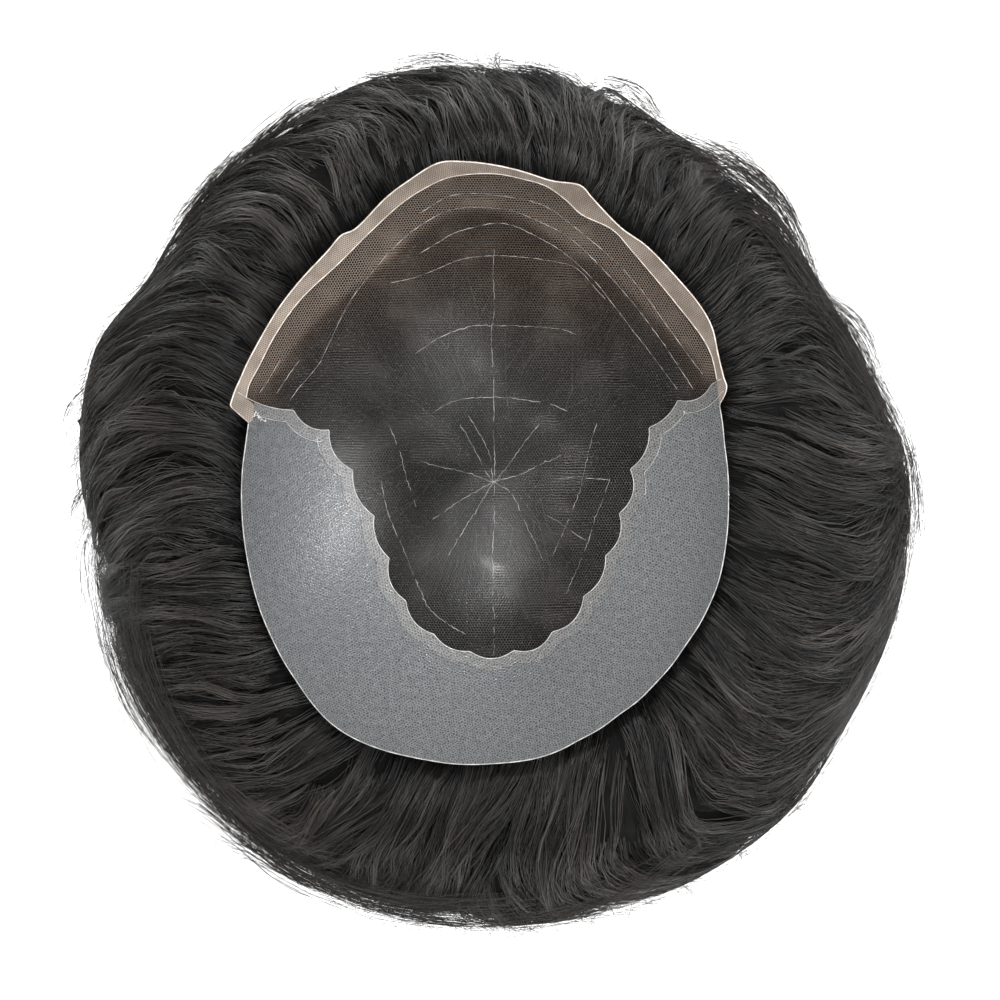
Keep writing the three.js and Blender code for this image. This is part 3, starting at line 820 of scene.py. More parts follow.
# stitched lines of the lace, as seen from above
STITCHES = [
    [(420, 214), (450, 197), (487, 195), (541, 206), (571, 225), (629, 276), (668, 328), (702, 375)],
    [(388, 254), (418, 228), (450, 211), (504, 210), (538, 222), (568, 238), (616, 284), (660, 340), (694, 391)],
    [(420, 254), (461, 231), (504, 225), (545, 242), (581, 268), (635, 334), (680, 394)],
    [(391, 284), (429, 273), (461, 260), (504, 256), (541, 260), (573, 268), (605, 300)],
    [(282, 360), (270, 378), (260, 393)],
    [(301, 360), (288, 378), (277, 394)],
    [(322, 360), (306, 381), (292, 399)],
    [(388, 254), (352, 300), (322, 360)],
]
FAINT = [
    [(415, 353), (438, 338), (461, 329), (504, 325), (554, 329), (581, 337)],
    [(434, 410), (450, 403), (466, 399), (504, 398), (541, 402), (573, 415)],
    [(494, 250), (493, 330), (494, 410), (494, 482), (493, 560), (494, 655)],
    [(389, 425), (400, 453), (408, 480), (417, 506)],
    [(380, 481), (389, 515), (408, 562), (420, 590), (429, 607), (447, 622), (466, 634)],
    [(597, 423), (590, 447), (584, 470), (574, 506), (565, 526), (548, 565)],
    [(610, 478), (599, 506), (587, 542), (577, 572), (564, 598)],
    [(556, 478), (583, 477), (610, 478)],
    [(547, 515), (567, 529), (585, 541)],
    [(460, 425), (474, 451), (490, 477), (510, 492), (527, 526), (544, 559)],
    [(494, 482), (455, 470), (420, 462)],
    [(494, 482), (462, 500), (430, 520)],
    [(494, 482), (470, 520), (448, 556)],
    [(494, 482), (530, 470), (560, 455)],
    [(494, 482), (520, 450), (540, 425)],
    [(494, 482), (484, 445), (470, 415)],
]


def wavering(line, radius, depth, seed, gap=0.2, wander=1.0):
    """A thread that wanders in and out of the net along the line, missing here and there."""
    r = np.random.default_rng(seed)
    fine = rounded(seen_at(*line), 0.8)
    n = len(fine)
    d = np.gradient(fine, axis=0)
    d /= np.maximum(np.linalg.norm(d, axis=1, keepdims=True), 1e-6)
    side = np.column_stack([-d[:, 1], d[:, 0]])
    slow = np.interp(np.arange(n), np.linspace(0, n, max(4, n // 8)), r.normal(0, 0.32 * wander, max(4, n // 8)))
    fine = fine + side * (slow + r.normal(0, 0.13 * wander, n))[:, None]
    made, at = [], 0
    while at < n - 3:
        long = int(r.uniform(5, 14))
        run = fine[at : min(at + long, n)]
        if len(run) > 2:
            made.append(tube(lifted(run, -depth + r.uniform(-0.06, 0.03)), radius * r.uniform(0.65, 1.2), 5, taper=0.6))
        at += long - 1 + (int(r.uniform(1, 5)) if r.uniform() < gap else 0)
    return made


parts = [p for i, l in enumerate(STITCHES) for p in wavering(l, 0.09, 0.33, i, 0.04, 0.35)]
stitches = add_mesh("stitched_lines", *joined(parts), THREAD)
parts = [p for i, l in enumerate(FAINT) for p in wavering(l, 0.085, 0.34, 40 + i, 0.3)]
rays = add_mesh("net_seams", *joined(parts), FINE)


# ------------------------------------------------------------------ the hair's outer form, as a map of azimuth and way down the slope

AZ_STEP = 2.0
AZ_GRID = np.arange(0, 360, AZ_STEP)
S_GRID = np.linspace(-0.3, 1.3, 65)
HAIR_RIM, RIM_DEPTH = 0.955, 1.6


def under_bowl(az, r, depth):
    """A point of the hair under the bowl, as reach and height."""
    share = r / bowl_reach(az)
    rise = RISE - SWING * np.cos(2 * np.radians(az))
    root = np.sqrt(np.maximum(1 - (share * math.sin(FLARE)) ** 2, 1e-3))
    high = rise * (1 - root) / (1 - math.cos(FLARE))
    tilt = np.arctan(rise * share * math.sin(FLARE) ** 2 / (root * (1 - math.cos(FLARE)) * bowl_reach(az)))
    return r + depth * np.sin(tilt), BED + WALL + high - depth * np.cos(tilt)


def build_form():
    radius, level, arc = [], [], []
    for az in AZ_GRID:
        reach, full = float(hair_reach(az)), float(hair_full(az))
        edge = float(bowl_reach(az))
        rim_r, rim_z = (float(v) for v in under_bowl(az, HAIR_RIM * edge, RIM_DEPTH))
        pts = [[float(v) for v in under_bowl(az, share * edge, 2.4)] for share in (0.7, 0.78, 0.85, 0.91)]
        first = len(pts)
        for out, up in SLOPE:
            pts.append([rim_r + (reach - rim_r) * out, rim_z * up * (full if up < 1 else 1)])
        p = np.array(pts)
        line = rounded(p, 1.0)
        seg = np.r_[0, np.cumsum(np.linalg.norm(np.diff(line, axis=0), axis=1))]
        start = seg[np.argmin(np.linalg.norm(line - p[first], axis=1))]
        end = seg[np.argmin(np.linalg.norm(line - p[first + 8], axis=1))]
        arc.append(end - start)
        want = start + S_GRID * (end - start)
        radius.append(np.interp(want, seg, line[:, 0]))
        level.append(np.interp(want, seg, line[:, 1]))
    return np.array(radius), np.array(level), np.array(arc)


FORM_R, FORM_Z, FORM_ARC = build_form()
dr, dz = np.gradient(FORM_R, axis=1), np.gradient(FORM_Z, axis=1)
long_ = np.maximum(np.hypot(dr, dz), 1e-6)
FORM_NR, FORM_NZ = -dz / long_, dr / long_  # outward, across the slope


def look_up(table, az, s):
    """Bilinear, round in azimuth."""
    a = (np.asarray(az) % 360) / AZ_STEP
    i = np.floor(a).astype(int) % len(AZ_GRID)
    fa = a - np.floor(a)
    j = (i + 1) % len(AZ_GRID)
    if table.ndim == 1:
        return table[i] * (1 - fa) + table[j] * fa
    t = np.clip((np.asarray(s) - S_GRID[0]) / (S_GRID[1] - S_GRID[0]), 0, len(S_GRID) - 1.001)
    k = t.astype(int)
    ft = t - k
    return (table[i, k] * (1 - ft) + table[i, k + 1] * ft) * (1 - fa) + (table[j, k] * (1 - ft) + table[j, k + 1] * ft) * fa


def on_form(az, s, depth):
    r, z = look_up(FORM_R, az, s), look_up(FORM_Z, az, s)
    nr, nz = look_up(FORM_NR, az, s), look_up(FORM_NZ, az, s)
    r, z = r - nr * depth, z - nz * depth
    a = np.radians(az)
    return np.stack([r * np.cos(a), r * np.sin(a), z], -1)


# which way the hair lies: degrees from straight outward, turning left, at five places down the slope
LIE_AT = np.array([0.0, 0.25, 0.5, 0.75, 1.0])
LIE = [
    (0, (-18, -22, -12, 12, 55)),
    (8, (-18, -23, -28, -36, -58)),
    (15, (-5, -7, -25, -55, -76)),
    (25, (3, 5, -14, -50, -80)),
    (45, (3, 12, 2, -38, -82)),
    (60, (2, 10, 2, -36, -76)),
    (69, (1, 9, 8, -14, -60)),
    (77, (5, 11, 13, 23, 43)),
    (90, (5, 12, 22, 38, 66)),
    (110, (-4, 6, 20, 44, 66)),
    (130, (-4, 5, 25, 54, 76)),
    (150, (-12, 3, 27, 50, 72)),
    (165, (-22, 2, 28, 40, 62)),
    (180, (-34, 0, 23, 30, 45)),
    (195, (-42, -12, 9, 14, 25)),
    (205, (-34, -20, -10, -8, 0)),
    (215, (-30, -28, -26, -22, -16)),
    (228, (-26, -30, -32, -28, -26)),
    (240, (-14, -20, -24, -22, -30)),
    (250, (-6, -8, -12, -22, -55)),
    (262, (-14, -16, -12, -4, 5)),
    (275, (-26, -28, -8, 28, 55)),
    (288, (-23, -27, -5, 42, 66)),
    (300, (-12, -17, 1, 46, 68)),
    (315, (0, -2, 20, 58, 76)),
    (340, (-10, -8, 12, 54, 76)),
]
lie_rows = np.stack([around([(az, row[i]) for az, row in LIE])(AZ_GRID) for i in range(5)], 1)
LIE_TABLE = np.stack([np.interp(np.clip(S_GRID, 0, 1), LIE_AT, row) for row in lie_rows])

rng = np.random.default_rng(41)


def ripple(az, s, waves):
    """Smooth noise over the form, as a sum of slanted waves."""
    out = 0.0
    for turns, along, phase, size in waves:
        out = out + size * np.sin(2 * math.pi * (turns * az / 360 + along * s + phase))
    return out


LOCK_WAVES = [(23, 1.3, 0.1, 6.0), (13, -2.1, 0.4, 5.0), (37, 0.8, 0.7, 4.5), (7, 1.7, 0.2, 4.0), (53, -1.1, 0.9, 3.0)]


def direction(az, s):
    return look_up(LIE_TABLE, az, s) + ripple(az, s, LOCK_WAVES)


def came_from(az, s, reach=150.0, step=2.5):
    """Follows the hair back to the base's edge: the azimuth it left from, and how far back that is."""
    az, s = np.array(az, float), np.array(s, float)
    far = np.zeros_like(s)
    for _ in range(int(reach / step)):
        go = (s > 0) * step
        turn = np.radians(direction(az, s))
        arc, rad = look_up(FORM_ARC, az, s), look_up(FORM_R, az, s)
        s = s - np.cos(turn) * go / arc
        az = az - np.degrees(np.sin(turn) * go / rad)
        far += go
    return az, far


def relief(home, s):
    """How far under the outer form the hair lies, in mm, where it left the base at that azimuth."""
    wave = ripple(home, s, [(31, 0.5, 0.13, 1.5), (54, -0.7, 0.41, 1.3), (19, 0.6, 0.77, 1.2), (83, 0.9, 0.29, 0.8), (121, -0.8, 0.6, 0.45)])
    return (1.8 + 1.1 * wave) * (0.25 + 0.75 * smooth_step(s, 0.06, 0.35)) * (1 - 0.45 * smooth_step(s, 0.8, 1.0))


def painted_hair_light(home, s):
    """Painted light and shade of the hair, 0 to 1: painted highlight bands that run with its lie, a painted highlight
    band part way down the slope, painted shade beside the base and towards the outer edge, and some sides of the hair
    painted lighter or darker.
    """
    w = ripple(home, s, [(37, 0.8, 0.5, 1.0), (53, -0.5, 0.3, 1.0), (79, 0.5, 0.1, 1.0), (113, -0.6, 0.35, 0.9), (167, 0.4, 0.7, 0.6), (241, -0.3, 0.2, 0.4)])
    slow = ripple(home, s, [(5, 0.9, 0.2, 0.5), (9, -1.3, 0.6, 0.5), (3, 1.6, 0.85, 0.5)])
    # painted shade beside the base and towards the outer edge, with a painted highlight band between
    painted_light_band = (0.22 + 0.78 * smooth_step(s, 0.05, 0.38)) * (1 - 0.72 * smooth_step(s, 0.58, 0.95))
    # painted light and shade by side: the hair lightened or darkened round the base by azimuth
    a = (np.asarray(home) + 90) % 360
    for at, by, wide in ((225, 0.3, 24), (92, -0.16, 22), (2, -0.13, 20), (46, 0.14, 16), (316, 0.12, 20)):
        painted_light_band = painted_light_band * (1 + by * np.exp(-(((a - at) / wide) ** 2)))
    return np.clip(0.34 + 0.19 * w + 0.10 * slow, 0.03, 1) * painted_light_band


def reach_more(az):
    """How much further than the form the tips go there, in mm."""
    a = np.asarray(az) % 360
    return 2.2 * np.exp(-(((a - 176) / 15) ** 2)) + 1.4 * np.exp(-(((a - 326) / 28) ** 2)) - 3.5 * np.exp(-(((a - 46) / 9) ** 2))


def trace(az, s, length, bend, swing, phase, steps=40):
    """Follows the lie of the hair. Returns azimuths and places down the slope, (N, steps + 1)."""
    az, s = az.copy(), s.copy()
    rows = [(az.copy(), s.copy())]
    step = length / steps
    for i in range(steps):
        u = i / steps
        turn = np.radians(direction(az, s) + bend * (0.3 + u) + swing * np.sin(2 * math.pi * (u * 1.6 + phase)))
        arc, r = look_up(FORM_ARC, az, s), look_up(FORM_R, az, s)
        s = s + np.cos(turn) * step / arc
        az = az + np.degrees(np.sin(turn) * step / r)
        s = np.clip(s, -0.28, 1.28)
        rows.append((az.copy(), s.copy()))
    a, b = zip(*rows)
    return np.stack(a, 1), np.stack(b, 1)


def along_rows(table, f):
    """table (N, M), f (N, P) as fractional columns."""
    f = np.clip(f, 0, table.shape[1] - 1.0001)
    k = f.astype(int)
    t = f - k
    row = np.arange(len(table))[:, None]
    return table[row, k] * (1 - t) + table[row, k + 1] * t


def grow(az0, s0, length, cut, per_lock, width, depth, stray, seed, pts, thick, lift=0.0, fine=1.05, subs=4, out=2.6, sunk=0.0):
    """Locks of strands. One row of az0, s0, length, cut, width and depth for each lock, which is split into smaller
    ones that close up towards their tips. Returns paths (N, pts, 3), radii, the small locks' numbers and the painted
    light and shade along each strand."""
    r = np.random.default_rng(seed)
    locks = len(az0)
    az, s = trace(az0, s0, length, r.normal(0, 4, locks), r.uniform(2, 7, locks), r.uniform(0, 1, locks))
    over = s > cut[:, None] - 0.17 * np.exp(-((((az % 360) - 46) / 9) ** 2))
    end = np.where(over.any(1), over.argmax(1), s.shape[1] - 1).astype(float)
    of = np.repeat(np.arange(locks), per_lock)
    n = len(of)
    small = of * subs + r.integers(0, subs, n)
    many = locks * subs
    marks = 30
    u = np.linspace(0, 1, marks)[None, :]
    short = (r.uniform(0.78, 1.0, many)[small] * r.uniform(0.9, 1.0, n))[:, None]
    begin = (r.uniform(0, 0.10, many)[small] + r.uniform(0, 0.05, n))[:, None]
    f = (begin + (1 - begin) * u) * short * end[of][:, None]
    a, t = along_rows(az[of], f), along_rows(s[of], f)
    arc, rad = look_up(FORM_ARC, a, t), look_up(FORM_R, a, t)
    da, dt = np.gradient(np.unwrap(np.radians(a), axis=1), axis=1) * rad, np.gradient(t, axis=1) * arc
    size = np.maximum(np.hypot(da, dt), 1e-6)
    ca, ct = dt / size, -da / size  # one step to the side: along azimuth, down the slope
    across = r.normal(0, 1, many)[small][:, None]
    own = r.normal(0, 1, n)[:, None]
    close = r.uniform(0.0, 0.85, many)[small][:, None]
    wave = 0.9 * (0.35 + u) * np.sin(
        2 * math.pi * (u * r.uniform(0.8, 2.0, many)[small][:, None] + r.uniform(0, 1, many)[small][:, None])
    )
    wave = wave + (0.4 + 0.5 * u) * (
        0.55 * np.sin(2 * math.pi * (u * r.uniform(0.7, 2.2, n)[:, None] + r.uniform(0, 1, n)[:, None]))
        + 0.25 * np.sin(2 * math.pi * (u * r.uniform(2.5, 4.5, n)[:, None] + r.uniform(0, 1, n)[:, None]))
    )
    loose = (r.normal(0, 1, n) * np.where(r.uniform(0, 1, n) < 0.14, 3.0, 0.8))[:, None] * stray * u**2.2
    shift = across * width[of][:, None] * (1.0 - 0.2 * u) + own * fine * (1.1 - close * u) + wave + loose
    a = a + np.degrees(ca * shift / rad)
    t = t + ct * shift / arc
    home = came_from(az0, s0)[0][of][:, None] + np.degrees(ca[:, :1] * shift[:, :1] / rad[:, :1])
    d = relief(home, t) + depth[of][:, None] + r.uniform(0, 1.8, many)[small][:, None] + r.uniform(0, 0.45, n)[:, None] + 0.22 * own**2
    d = d - (r.normal(0, 1, n) * np.where(r.uniform(0, 1, n) < 0.12, 2.2, 0.8))[:, None] * (0.6 * stray) * u**2
    d = d + sunk * (1 - smooth_step(u, 0, 0.32)) - lift * u**2 - (out * r.uniform(0.35, 1.2, n)[:, None] + reach_more(a)) * smooth_step(t, 0.55, 1.0)
    # the painted light and shade along the strands
    shade = painted_hair_light(home, t)
    d = np.maximum(d, 1.3 * (1 - smooth_step(t, 0.05, 0.16)))
    p = on_form(a, t, d)
    p[..., 2] = np.maximum(p[..., 2], 0.35)
    # points closer together where the strand bends
    seg = np.linalg.norm(np.diff(p, axis=1), axis=2)
    way = np.diff(p, axis=1) / np.maximum(seg, 1e-6)[..., None]
    bend = np.arccos(np.clip((way[:, 1:] * way[:, :-1]).sum(2), -1, 1))
    cost = seg + 14 * np.pad(bend, ((0, 0), (1, 0)))
    total = np.concatenate([np.zeros((n, 1)), np.cumsum(cost, 1)], 1)
    want = np.linspace(0, 1, pts)[None, :] * total[:, -1:]
    where = np.empty((n, pts))
    for i in range(pts):
        k = np.clip((total <= want[:, i : i + 1]).sum(1) - 1, 0, marks - 2)
        lo, hi = total[np.arange(n), k], total[np.arange(n), k + 1]
        where[:, i] = k + np.clip((want[:, i] - lo) / np.maximum(hi - lo, 1e-9), 0, 1)
    p = np.stack([along_rows(p[..., i], where) for i in range(3)], -1)
    shade = along_rows(shade, where)
    v = np.linspace(0, 1, pts)[None, :]
    radii = thick * r.uniform(0.8, 1.15, n)[:, None] * (1 - 0.62 * v**3)
    return p, radii, small, shade


def hair_piece(name, groups, material, node=None):
    """One mesh of strands from (paths, radii, tone) groups."""
    verts, faces, uvs, tone, at = [], {3: [], 4: []}, {3: [], 4: []}, [], 0
    for k, (paths, radii, tones) in enumerate(groups):
        v, fs, uv, of = strands(paths, radii, 3, np.random.default_rng(k).uniform(0, 6.28, len(paths)))
        cut = 0
        for f in fs:
            m = f.size
            part = uv[cut : cut + m] * [1 / len(groups), 1] + [k / len(groups), 0]
            faces[f.shape[1]].append(f + at)
            uvs[f.shape[1]].append(part)
            cut += m
        verts.append(v)
        rings = np.broadcast_to(tones[:, None], radii.shape) if tones.ndim == 1 else tones
        tone.append(np.concatenate([np.repeat(rings[:, :-1], 3, axis=1), rings[:, -1:]], axis=1).ravel())
        at += len(v)
    obj = add_mesh(
        name,
        np.vstack(verts),
        [np.vstack(faces[4]), np.vstack(faces[3])],
        material,
        {"OFBake": np.vstack(uvs[4] + uvs[3])},
        {"tone": np.concatenate(tone)},
    )
    if node:
        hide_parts(node)
    return obj


SHARE = 1.0
POINTS = 9


def cover(paths, cell=3.0):
    """How thickly the strands lie over each cell of the floor plan."""
    t = np.linspace(0, 1, 4, endpoint=False)[:, None, None, None]
    p = (paths[None, :, :-1, :2] * (1 - t) + paths[None, :, 1:, :2] * t).reshape(-1, 2)
    at = np.clip(((p + 200) / cell).astype(int), 0, int(400 / cell))
    table = np.zeros((int(400 / cell) + 1,) * 2)
    np.add.at(table, (at[:, 0], at[:, 1]), 1)
    table = sum(np.roll(np.roll(table, i, 0), j, 1) for i in (-1, 0, 1) for j in (-1, 0, 1)) / 9
    return lambda xy: table[tuple(np.clip(((xy + 200) / cell).astype(int), 0, int(400 / cell)).transpose(2, 0, 1))]


def both_covers(one, two):
    return lambda xy: one(xy) + two(xy)


def thin_spots(known, many, az_from, az_to, r):
    """Starts for locks, most of them where few strands lie yet."""
    n = many * 10
    az, s, length = r.uniform(az_from, az_to, n), r.uniform(0.0, 0.6, n), r.uniform(50, 110, n)
    ta, ts = trace(az, s, length, np.zeros(n), np.zeros(n), np.zeros(n), steps=14)
    seen = np.sort(known(on_form(ta, np.minimum(ts, 1), 2.0)[..., :2]), axis=1)[:, :6].mean(1)
    weight = np.exp(-6.0 * seen / max(np.median(seen), 1e-6))
    pick = r.choice(n, many, replace=False, p=weight / weight.sum())
    return az[pick], s[pick], length[pick]


def sector(name, node, az_from, az_to, locks, seed):
    r = np.random.default_rng(seed)
    n = int(locks * SHARE)
    span = az_to - az_from
    a = int(n * 0.48)
    b = int(n * 0.36)
    c = n - a - b
    # long locks that leave the base's edge
    az = az_from + span * (np.arange(a) + r.uniform(0.1, 0.9, a)) / a
    if az_from < 294 < az_to:
        az[: a // 10] = r.uniform(289, 299, a // 10)
    top = grow(
        az, r.uniform(-0.22, -0.02, a), r.uniform(95, 165, a), r.uniform(0.9, 1.12, a), 27,
        r.uniform(2.4, 4.8, a), 3.6 * r.uniform(0, 1, a) ** 1.5, 1.3, seed + 1, POINTS, 0.145,
    )
    # locks that come up between them further out
    known, mids = cover(top[0]), []
    for k, m in enumerate((b // 2, b - b // 2)):
        az, start, length = thin_spots(known, m, az_from, az_to, r)
        more = grow(
            az, start, length, r.uniform(0.93, 1.14, m), 27,
            r.uniform(2.2, 4.5, m), 2.4 * r.uniform(0, 1, m) ** 1.4, 1.5, seed + 2 + 50 * k, POINTS - 1, 0.15, sunk=5.0,
        )
        mids.append(more)
        known = both_covers(known, cover(more[0]))
    mid = tuple(np.concatenate(x) for x in zip(*mids))
    # the lower skirt, down to the floor
    az = az_from + span * (np.arange(c) + r.uniform(0, 1, c)) / c
    low = grow(
        az, r.uniform(0.5, 0.85, c), r.uniform(35, 80, c), r.uniform(1.05, 1.24, c), 26,
        r.uniform(3.0, 6.0, c), 0.3 + 4.0 * r.uniform(0, 1, c) ** 1.2, 1.3, seed + 3, POINTS - 2, 0.16, sunk=4.0,
    )
    groups = []
    for paths, radii, of, shade in (top, mid, low):
        per = np.random.default_rng(seed + 7).uniform(-1, 1, of.max() + 1)[of]
        own = np.random.default_rng(seed + 8).normal(0, 1, len(of))
        # tone: the painted light and shade of each strand, varied at random from lock to lock and strand to strand
        tone = np.clip(shade * (1 + 0.28 * per[:, None] + 0.12 * own[:, None]), 0, 1)
        groups.append((paths, radii, tone))
    return hair_piece(name, groups, HAIR, node)


pieces_of_hair = [
    sector("hair_front_locks", "hair_front", 32, 147, 168, 100),
    sector("hair_left_locks", "hair_left", 147, 227, 150, 200),
    sector("hair_back_locks", "hair_back", 227, 312, 166, 300),
    sector("hair_right_locks", "hair_right", 312, 392, 158, 400),
]

# fringe that runs along the outer edge, under the tips of the locks above it
r = np.random.default_rng(61)
n = int(26 * SHARE) + 2


def fringe(az_from, az_to, turn_to, many, seed, s_from=0.86, s_to=1.02, per=22):
    """Strands that run round the outer edge, towards higher azimuths if turn_to is 1 and lower if it is -1."""
    r = np.random.default_rng(seed)
    n = max(2, int(many * SHARE)) * per
    lock = np.repeat(r.uniform(0, 1, n // per), per)
    u = np.linspace(0, 1, 9)[None, :]
    start = az_from + (az_to - az_from) * lock[:, None] + r.normal(0, 2.0, (n, 1))
    long = np.repeat(r.uniform(22, 44, n // per), per)[:, None] * r.uniform(0.75, 1.1, (n, 1))
    a = start + turn_to * long * u
    s0 = s_from + (s_to - s_from) * np.repeat(r.uniform(0, 1, n // per), per)[:, None]
    s = s0 + r.normal(0, 0.04, (n, 1)) + 0.09 * u * r.uniform(-1.0, 1.0, (n, 1)) - 0.16 * (1 - u) ** 2
    s = s + 0.012 * np.sin(2 * math.pi * (u * r.uniform(0.8, 2.2, (n, 1)) + r.uniform(0, 1, (n, 1))))
    d = r.uniform(-3.5, 2.5, (n, 1)) * u - 0.5 + r.normal(0, 0.9, (n, 1)) - 3.0 * u**2 * (r.uniform(0, 1, (n, 1)) < 0.2)
    p = on_form(a, s, d)
    p[..., 2] = np.maximum(p[..., 2], 0.35)
    return p, 0.085 * (1 - 0.6 * u**3) * np.ones((n, 1)), np.clip(0.35 + 0.5 * r.uniform(0, 1, n), 0, 1)


runs = [
    fringe(190, 214, 1, 6, 62, 0.70, 0.99),
    fringe(238, 268, -1, 7, 63, 0.72, 0.99),
    fringe(262, 300, -1, 4, 64, 0.78, 0.97),
    fringe(20, 55, -1, 4, 65, 0.74, 0.94),
]


def tuft(line, many, wide, narrow, seed, thick=0.088, drop=4.0, points=11):
    """Strands along a line given by pixels of the photo and heights in mm, spread wide at its start and narrow at its tip."""
    r = np.random.default_rng(seed)
    n = max(2, int(many * SHARE))
    l = np.array(line, float)
    k = PX * (EYE[2] - l[:, 2])
    p = np.column_stack([EYE[0] + (l[:, 0] - 500) * k - MID[0], EYE[1] - (l[:, 1] - 500) * k - MID[1], l[:, 2]])
    path = rounded(p, 1.0)
    u = np.linspace(0, 1, points)
    seg = np.r_[0, np.cumsum(np.linalg.norm(np.diff(path, axis=0), axis=1))] / max(1e-6, 1)
    seg /= seg[-1]
    from_, to_ = r.uniform(0, 0.25, (n, 1)), r.uniform(0.7, 1.0, (n, 1))
    where = from_ + (to_ - from_) * u[None, :]
    got = np.stack([np.interp(where, seg, path[:, i]) for i in range(3)], -1)
    d = np.gradient(got[..., :2], axis=1)
    d /= np.maximum(np.linalg.norm(d, axis=2, keepdims=True), 1e-6)
    side = np.stack([-d[..., 1], d[..., 0]], -1)
    size = wide + (narrow - wide) * where
    off = r.normal(0, 1, (n, 1)) * size + 0.5 * np.sin(2 * math.pi * (where * r.uniform(0.8, 2.2, (n, 1)) + r.uniform(0, 1, (n, 1))))
    off = off + (r.normal(0, 1, n) * np.where(r.uniform(0, 1, n) < 0.2, 2.6, 0.6))[:, None] * u**2.5 * 1.2
    got[..., :2] += side * off[..., None]
    got[..., 2] += r.normal(0, 1, (n, 1)) * drop * (0.4 + 0.6 * u)
    got[..., 2] = np.maximum(got[..., 2], 0.5)
    return got, thick * (1 - 0.6 * u[None, :] ** 3) * np.ones((n, 1)), np.clip(0.45 + 0.5 * r.uniform(0, 1, n), 0, 1)


TUFTS = [
    ([(690, 170, 46), (735, 166, 40), (772, 190, 34), (797, 232, 28), (812, 272, 24), (824, 305, 20)], 60, 2.6, 1.2),
    ([(665, 135, 44), (712, 150, 38), (752, 176, 32), (784, 206, 27), (806, 255, 22)], 50, 2.2, 0.9),
    ([(735, 205, 48), (772, 222, 42), (797, 258, 34), (806, 300, 28)], 45, 2.4, 1.0),
    ([(700, 150, 40), (735, 148, 36), (762, 172, 30), (780, 194, 26)], 14, 1.4, 0.8),
    ([(800, 300, 40), (838, 312, 34), (862, 338, 28), (878, 378, 22), (893, 410, 18)], 45, 2.6, 1.4),
    ([(820, 300, 36), (852, 318, 30), (872, 342, 26), (884, 356, 22)], 16, 1.8, 1.4),
    ([(310, 100, 36), (262, 138, 30), (224, 176, 26), (194, 208, 23), (171, 246, 20)], 60, 2.0, 1.0),
    ([(345, 92, 34), (300, 112, 30), (262, 146, 26), (236, 176, 23)], 30, 1.6, 0.9),
    ([(240, 150, 34), (205, 190, 28), (178, 222, 24), (164, 252, 20)], 30, 1.6, 0.9),
    ([(118, 372, 30), (88, 386, 26), (72, 404, 22), (66, 424, 20), (70, 446, 18)], 14, 1.8, 1.4),
    ([(100, 470, 26), (80, 492, 22), (70, 510, 20), (70, 522, 18), (78, 524, 18)], 20, 1.2, 0.5),
    ([(104, 520, 26), (90, 548, 22), (91, 586, 18), (98, 622, 16), (108, 654, 14)], 34, 3.0, 2.6),
    ([(100, 600, 22), (108, 650, 18), (126, 700, 15), (152, 742, 12), (184, 786, 10)], 36, 2.4, 2.2),
    ([(350, 900, 20), (290, 874, 18), (240, 838, 16), (200, 808, 14), (165, 793, 12)], 46, 2.0, 1.2),
    ([(320, 890, 20), (262, 856, 16), (226, 842, 14), (195, 834, 12)], 30, 1.8, 1.4),
    ([(470, 925, 20), (400, 915, 16), (335, 893, 14), (285, 868, 12)], 40, 1.8, 1.4),
    ([(650, 880, 20), (682, 886, 16), (697, 900, 12), (696, 914, 10)], 10, 1.2, 1.0),
    ([(500, 75, 30), (497, 62, 26), (500, 50, 24), (505, 41, 22)], 8, 1.0, 0.5),
    ([(470, 66, 28), (440, 58, 24), (410, 60, 22), (384, 66, 20)], 22, 1.4, 1.0),
    ([(420, 72, 28), (385, 76, 24), (358, 76, 22), (346, 86, 20)], 16, 1.4, 1.0),
    ([(600, 80, 34), (632, 88, 30), (655, 112, 26), (668, 138, 24)], 30, 1.8, 1.0),
    ([(905, 430, 30), (915, 470, 24), (920, 520, 20), (918, 566, 16)], 24, 1.8, 1.4),
]
runs += [tuft(line, many, wide, narrow, 500 + i) for i, (line, many, wide, narrow) in enumerate(TUFTS)]
by_points = {}
for p, rr, tt in runs:
    by_points.setdefault(p.shape[1], []).append((p, rr, tt))
edge_hair = hair_piece(
    "edge_wisps", [tuple(np.concatenate(x) for x in zip(*group)) for group in by_points.values()], EDGE
)

# single hairs that stand off the mass
r = np.random.default_rng(77)
n = int(420 * SHARE)
fly = grow(
    r.uniform(0, 360, n), r.uniform(0.45, 0.9, n), r.uniform(35, 85, n), r.uniform(0.95, 1.1, n), 1,
    np.full(n, 1.0), np.full(n, 0.0), 3.2, 78, 11, 0.085, lift=r.uniform(-1, 7, n)[:, None],
)
fly_tone = np.clip(r.uniform(0.3, 1.0, n), 0, 1)
# and the short fuzz round the outer edge
n = int(2100 * SHARE)
u = np.linspace(0, 1, 6)[None, :]
az, s = r.uniform(0, 360, (n, 1)), r.uniform(0.7, 1.0, (n, 1))
lean = np.radians(direction(az[:, 0], s[:, 0]))[:, None] * 0.5 + r.normal(0, 0.55, (n, 1)) + r.normal(0, 0.7, (n, 1)) * u
far = r.uniform(7, 22, (n, 1)) / 5
s = s + np.cumsum(np.cos(lean) * far, 1) / look_up(FORM_ARC, az[:, 0], 0)[:, None] * 0.7
az = az + np.degrees(np.cumsum(np.sin(lean) * far, 1) / 130)
p = on_form(az, np.minimum(s, 1.12), 1.5 - 2.4 * smooth_step(s, 0.6, 1.0) - 10.0 * r.uniform(0.05, 1, (n, 1)) ** 1.6 * u**1.4)
p[..., 2] = np.maximum(p[..., 2], 0.4)
fuzz = (p, 0.07 * (1 - 0.6 * u**2) * np.ones((n, 1)), r.uniform(0.4, 1.0, n))
flyaways = hair_piece("loose_hairs", [(fly[0], fly[1], fly_tone), fuzz], EDGE)

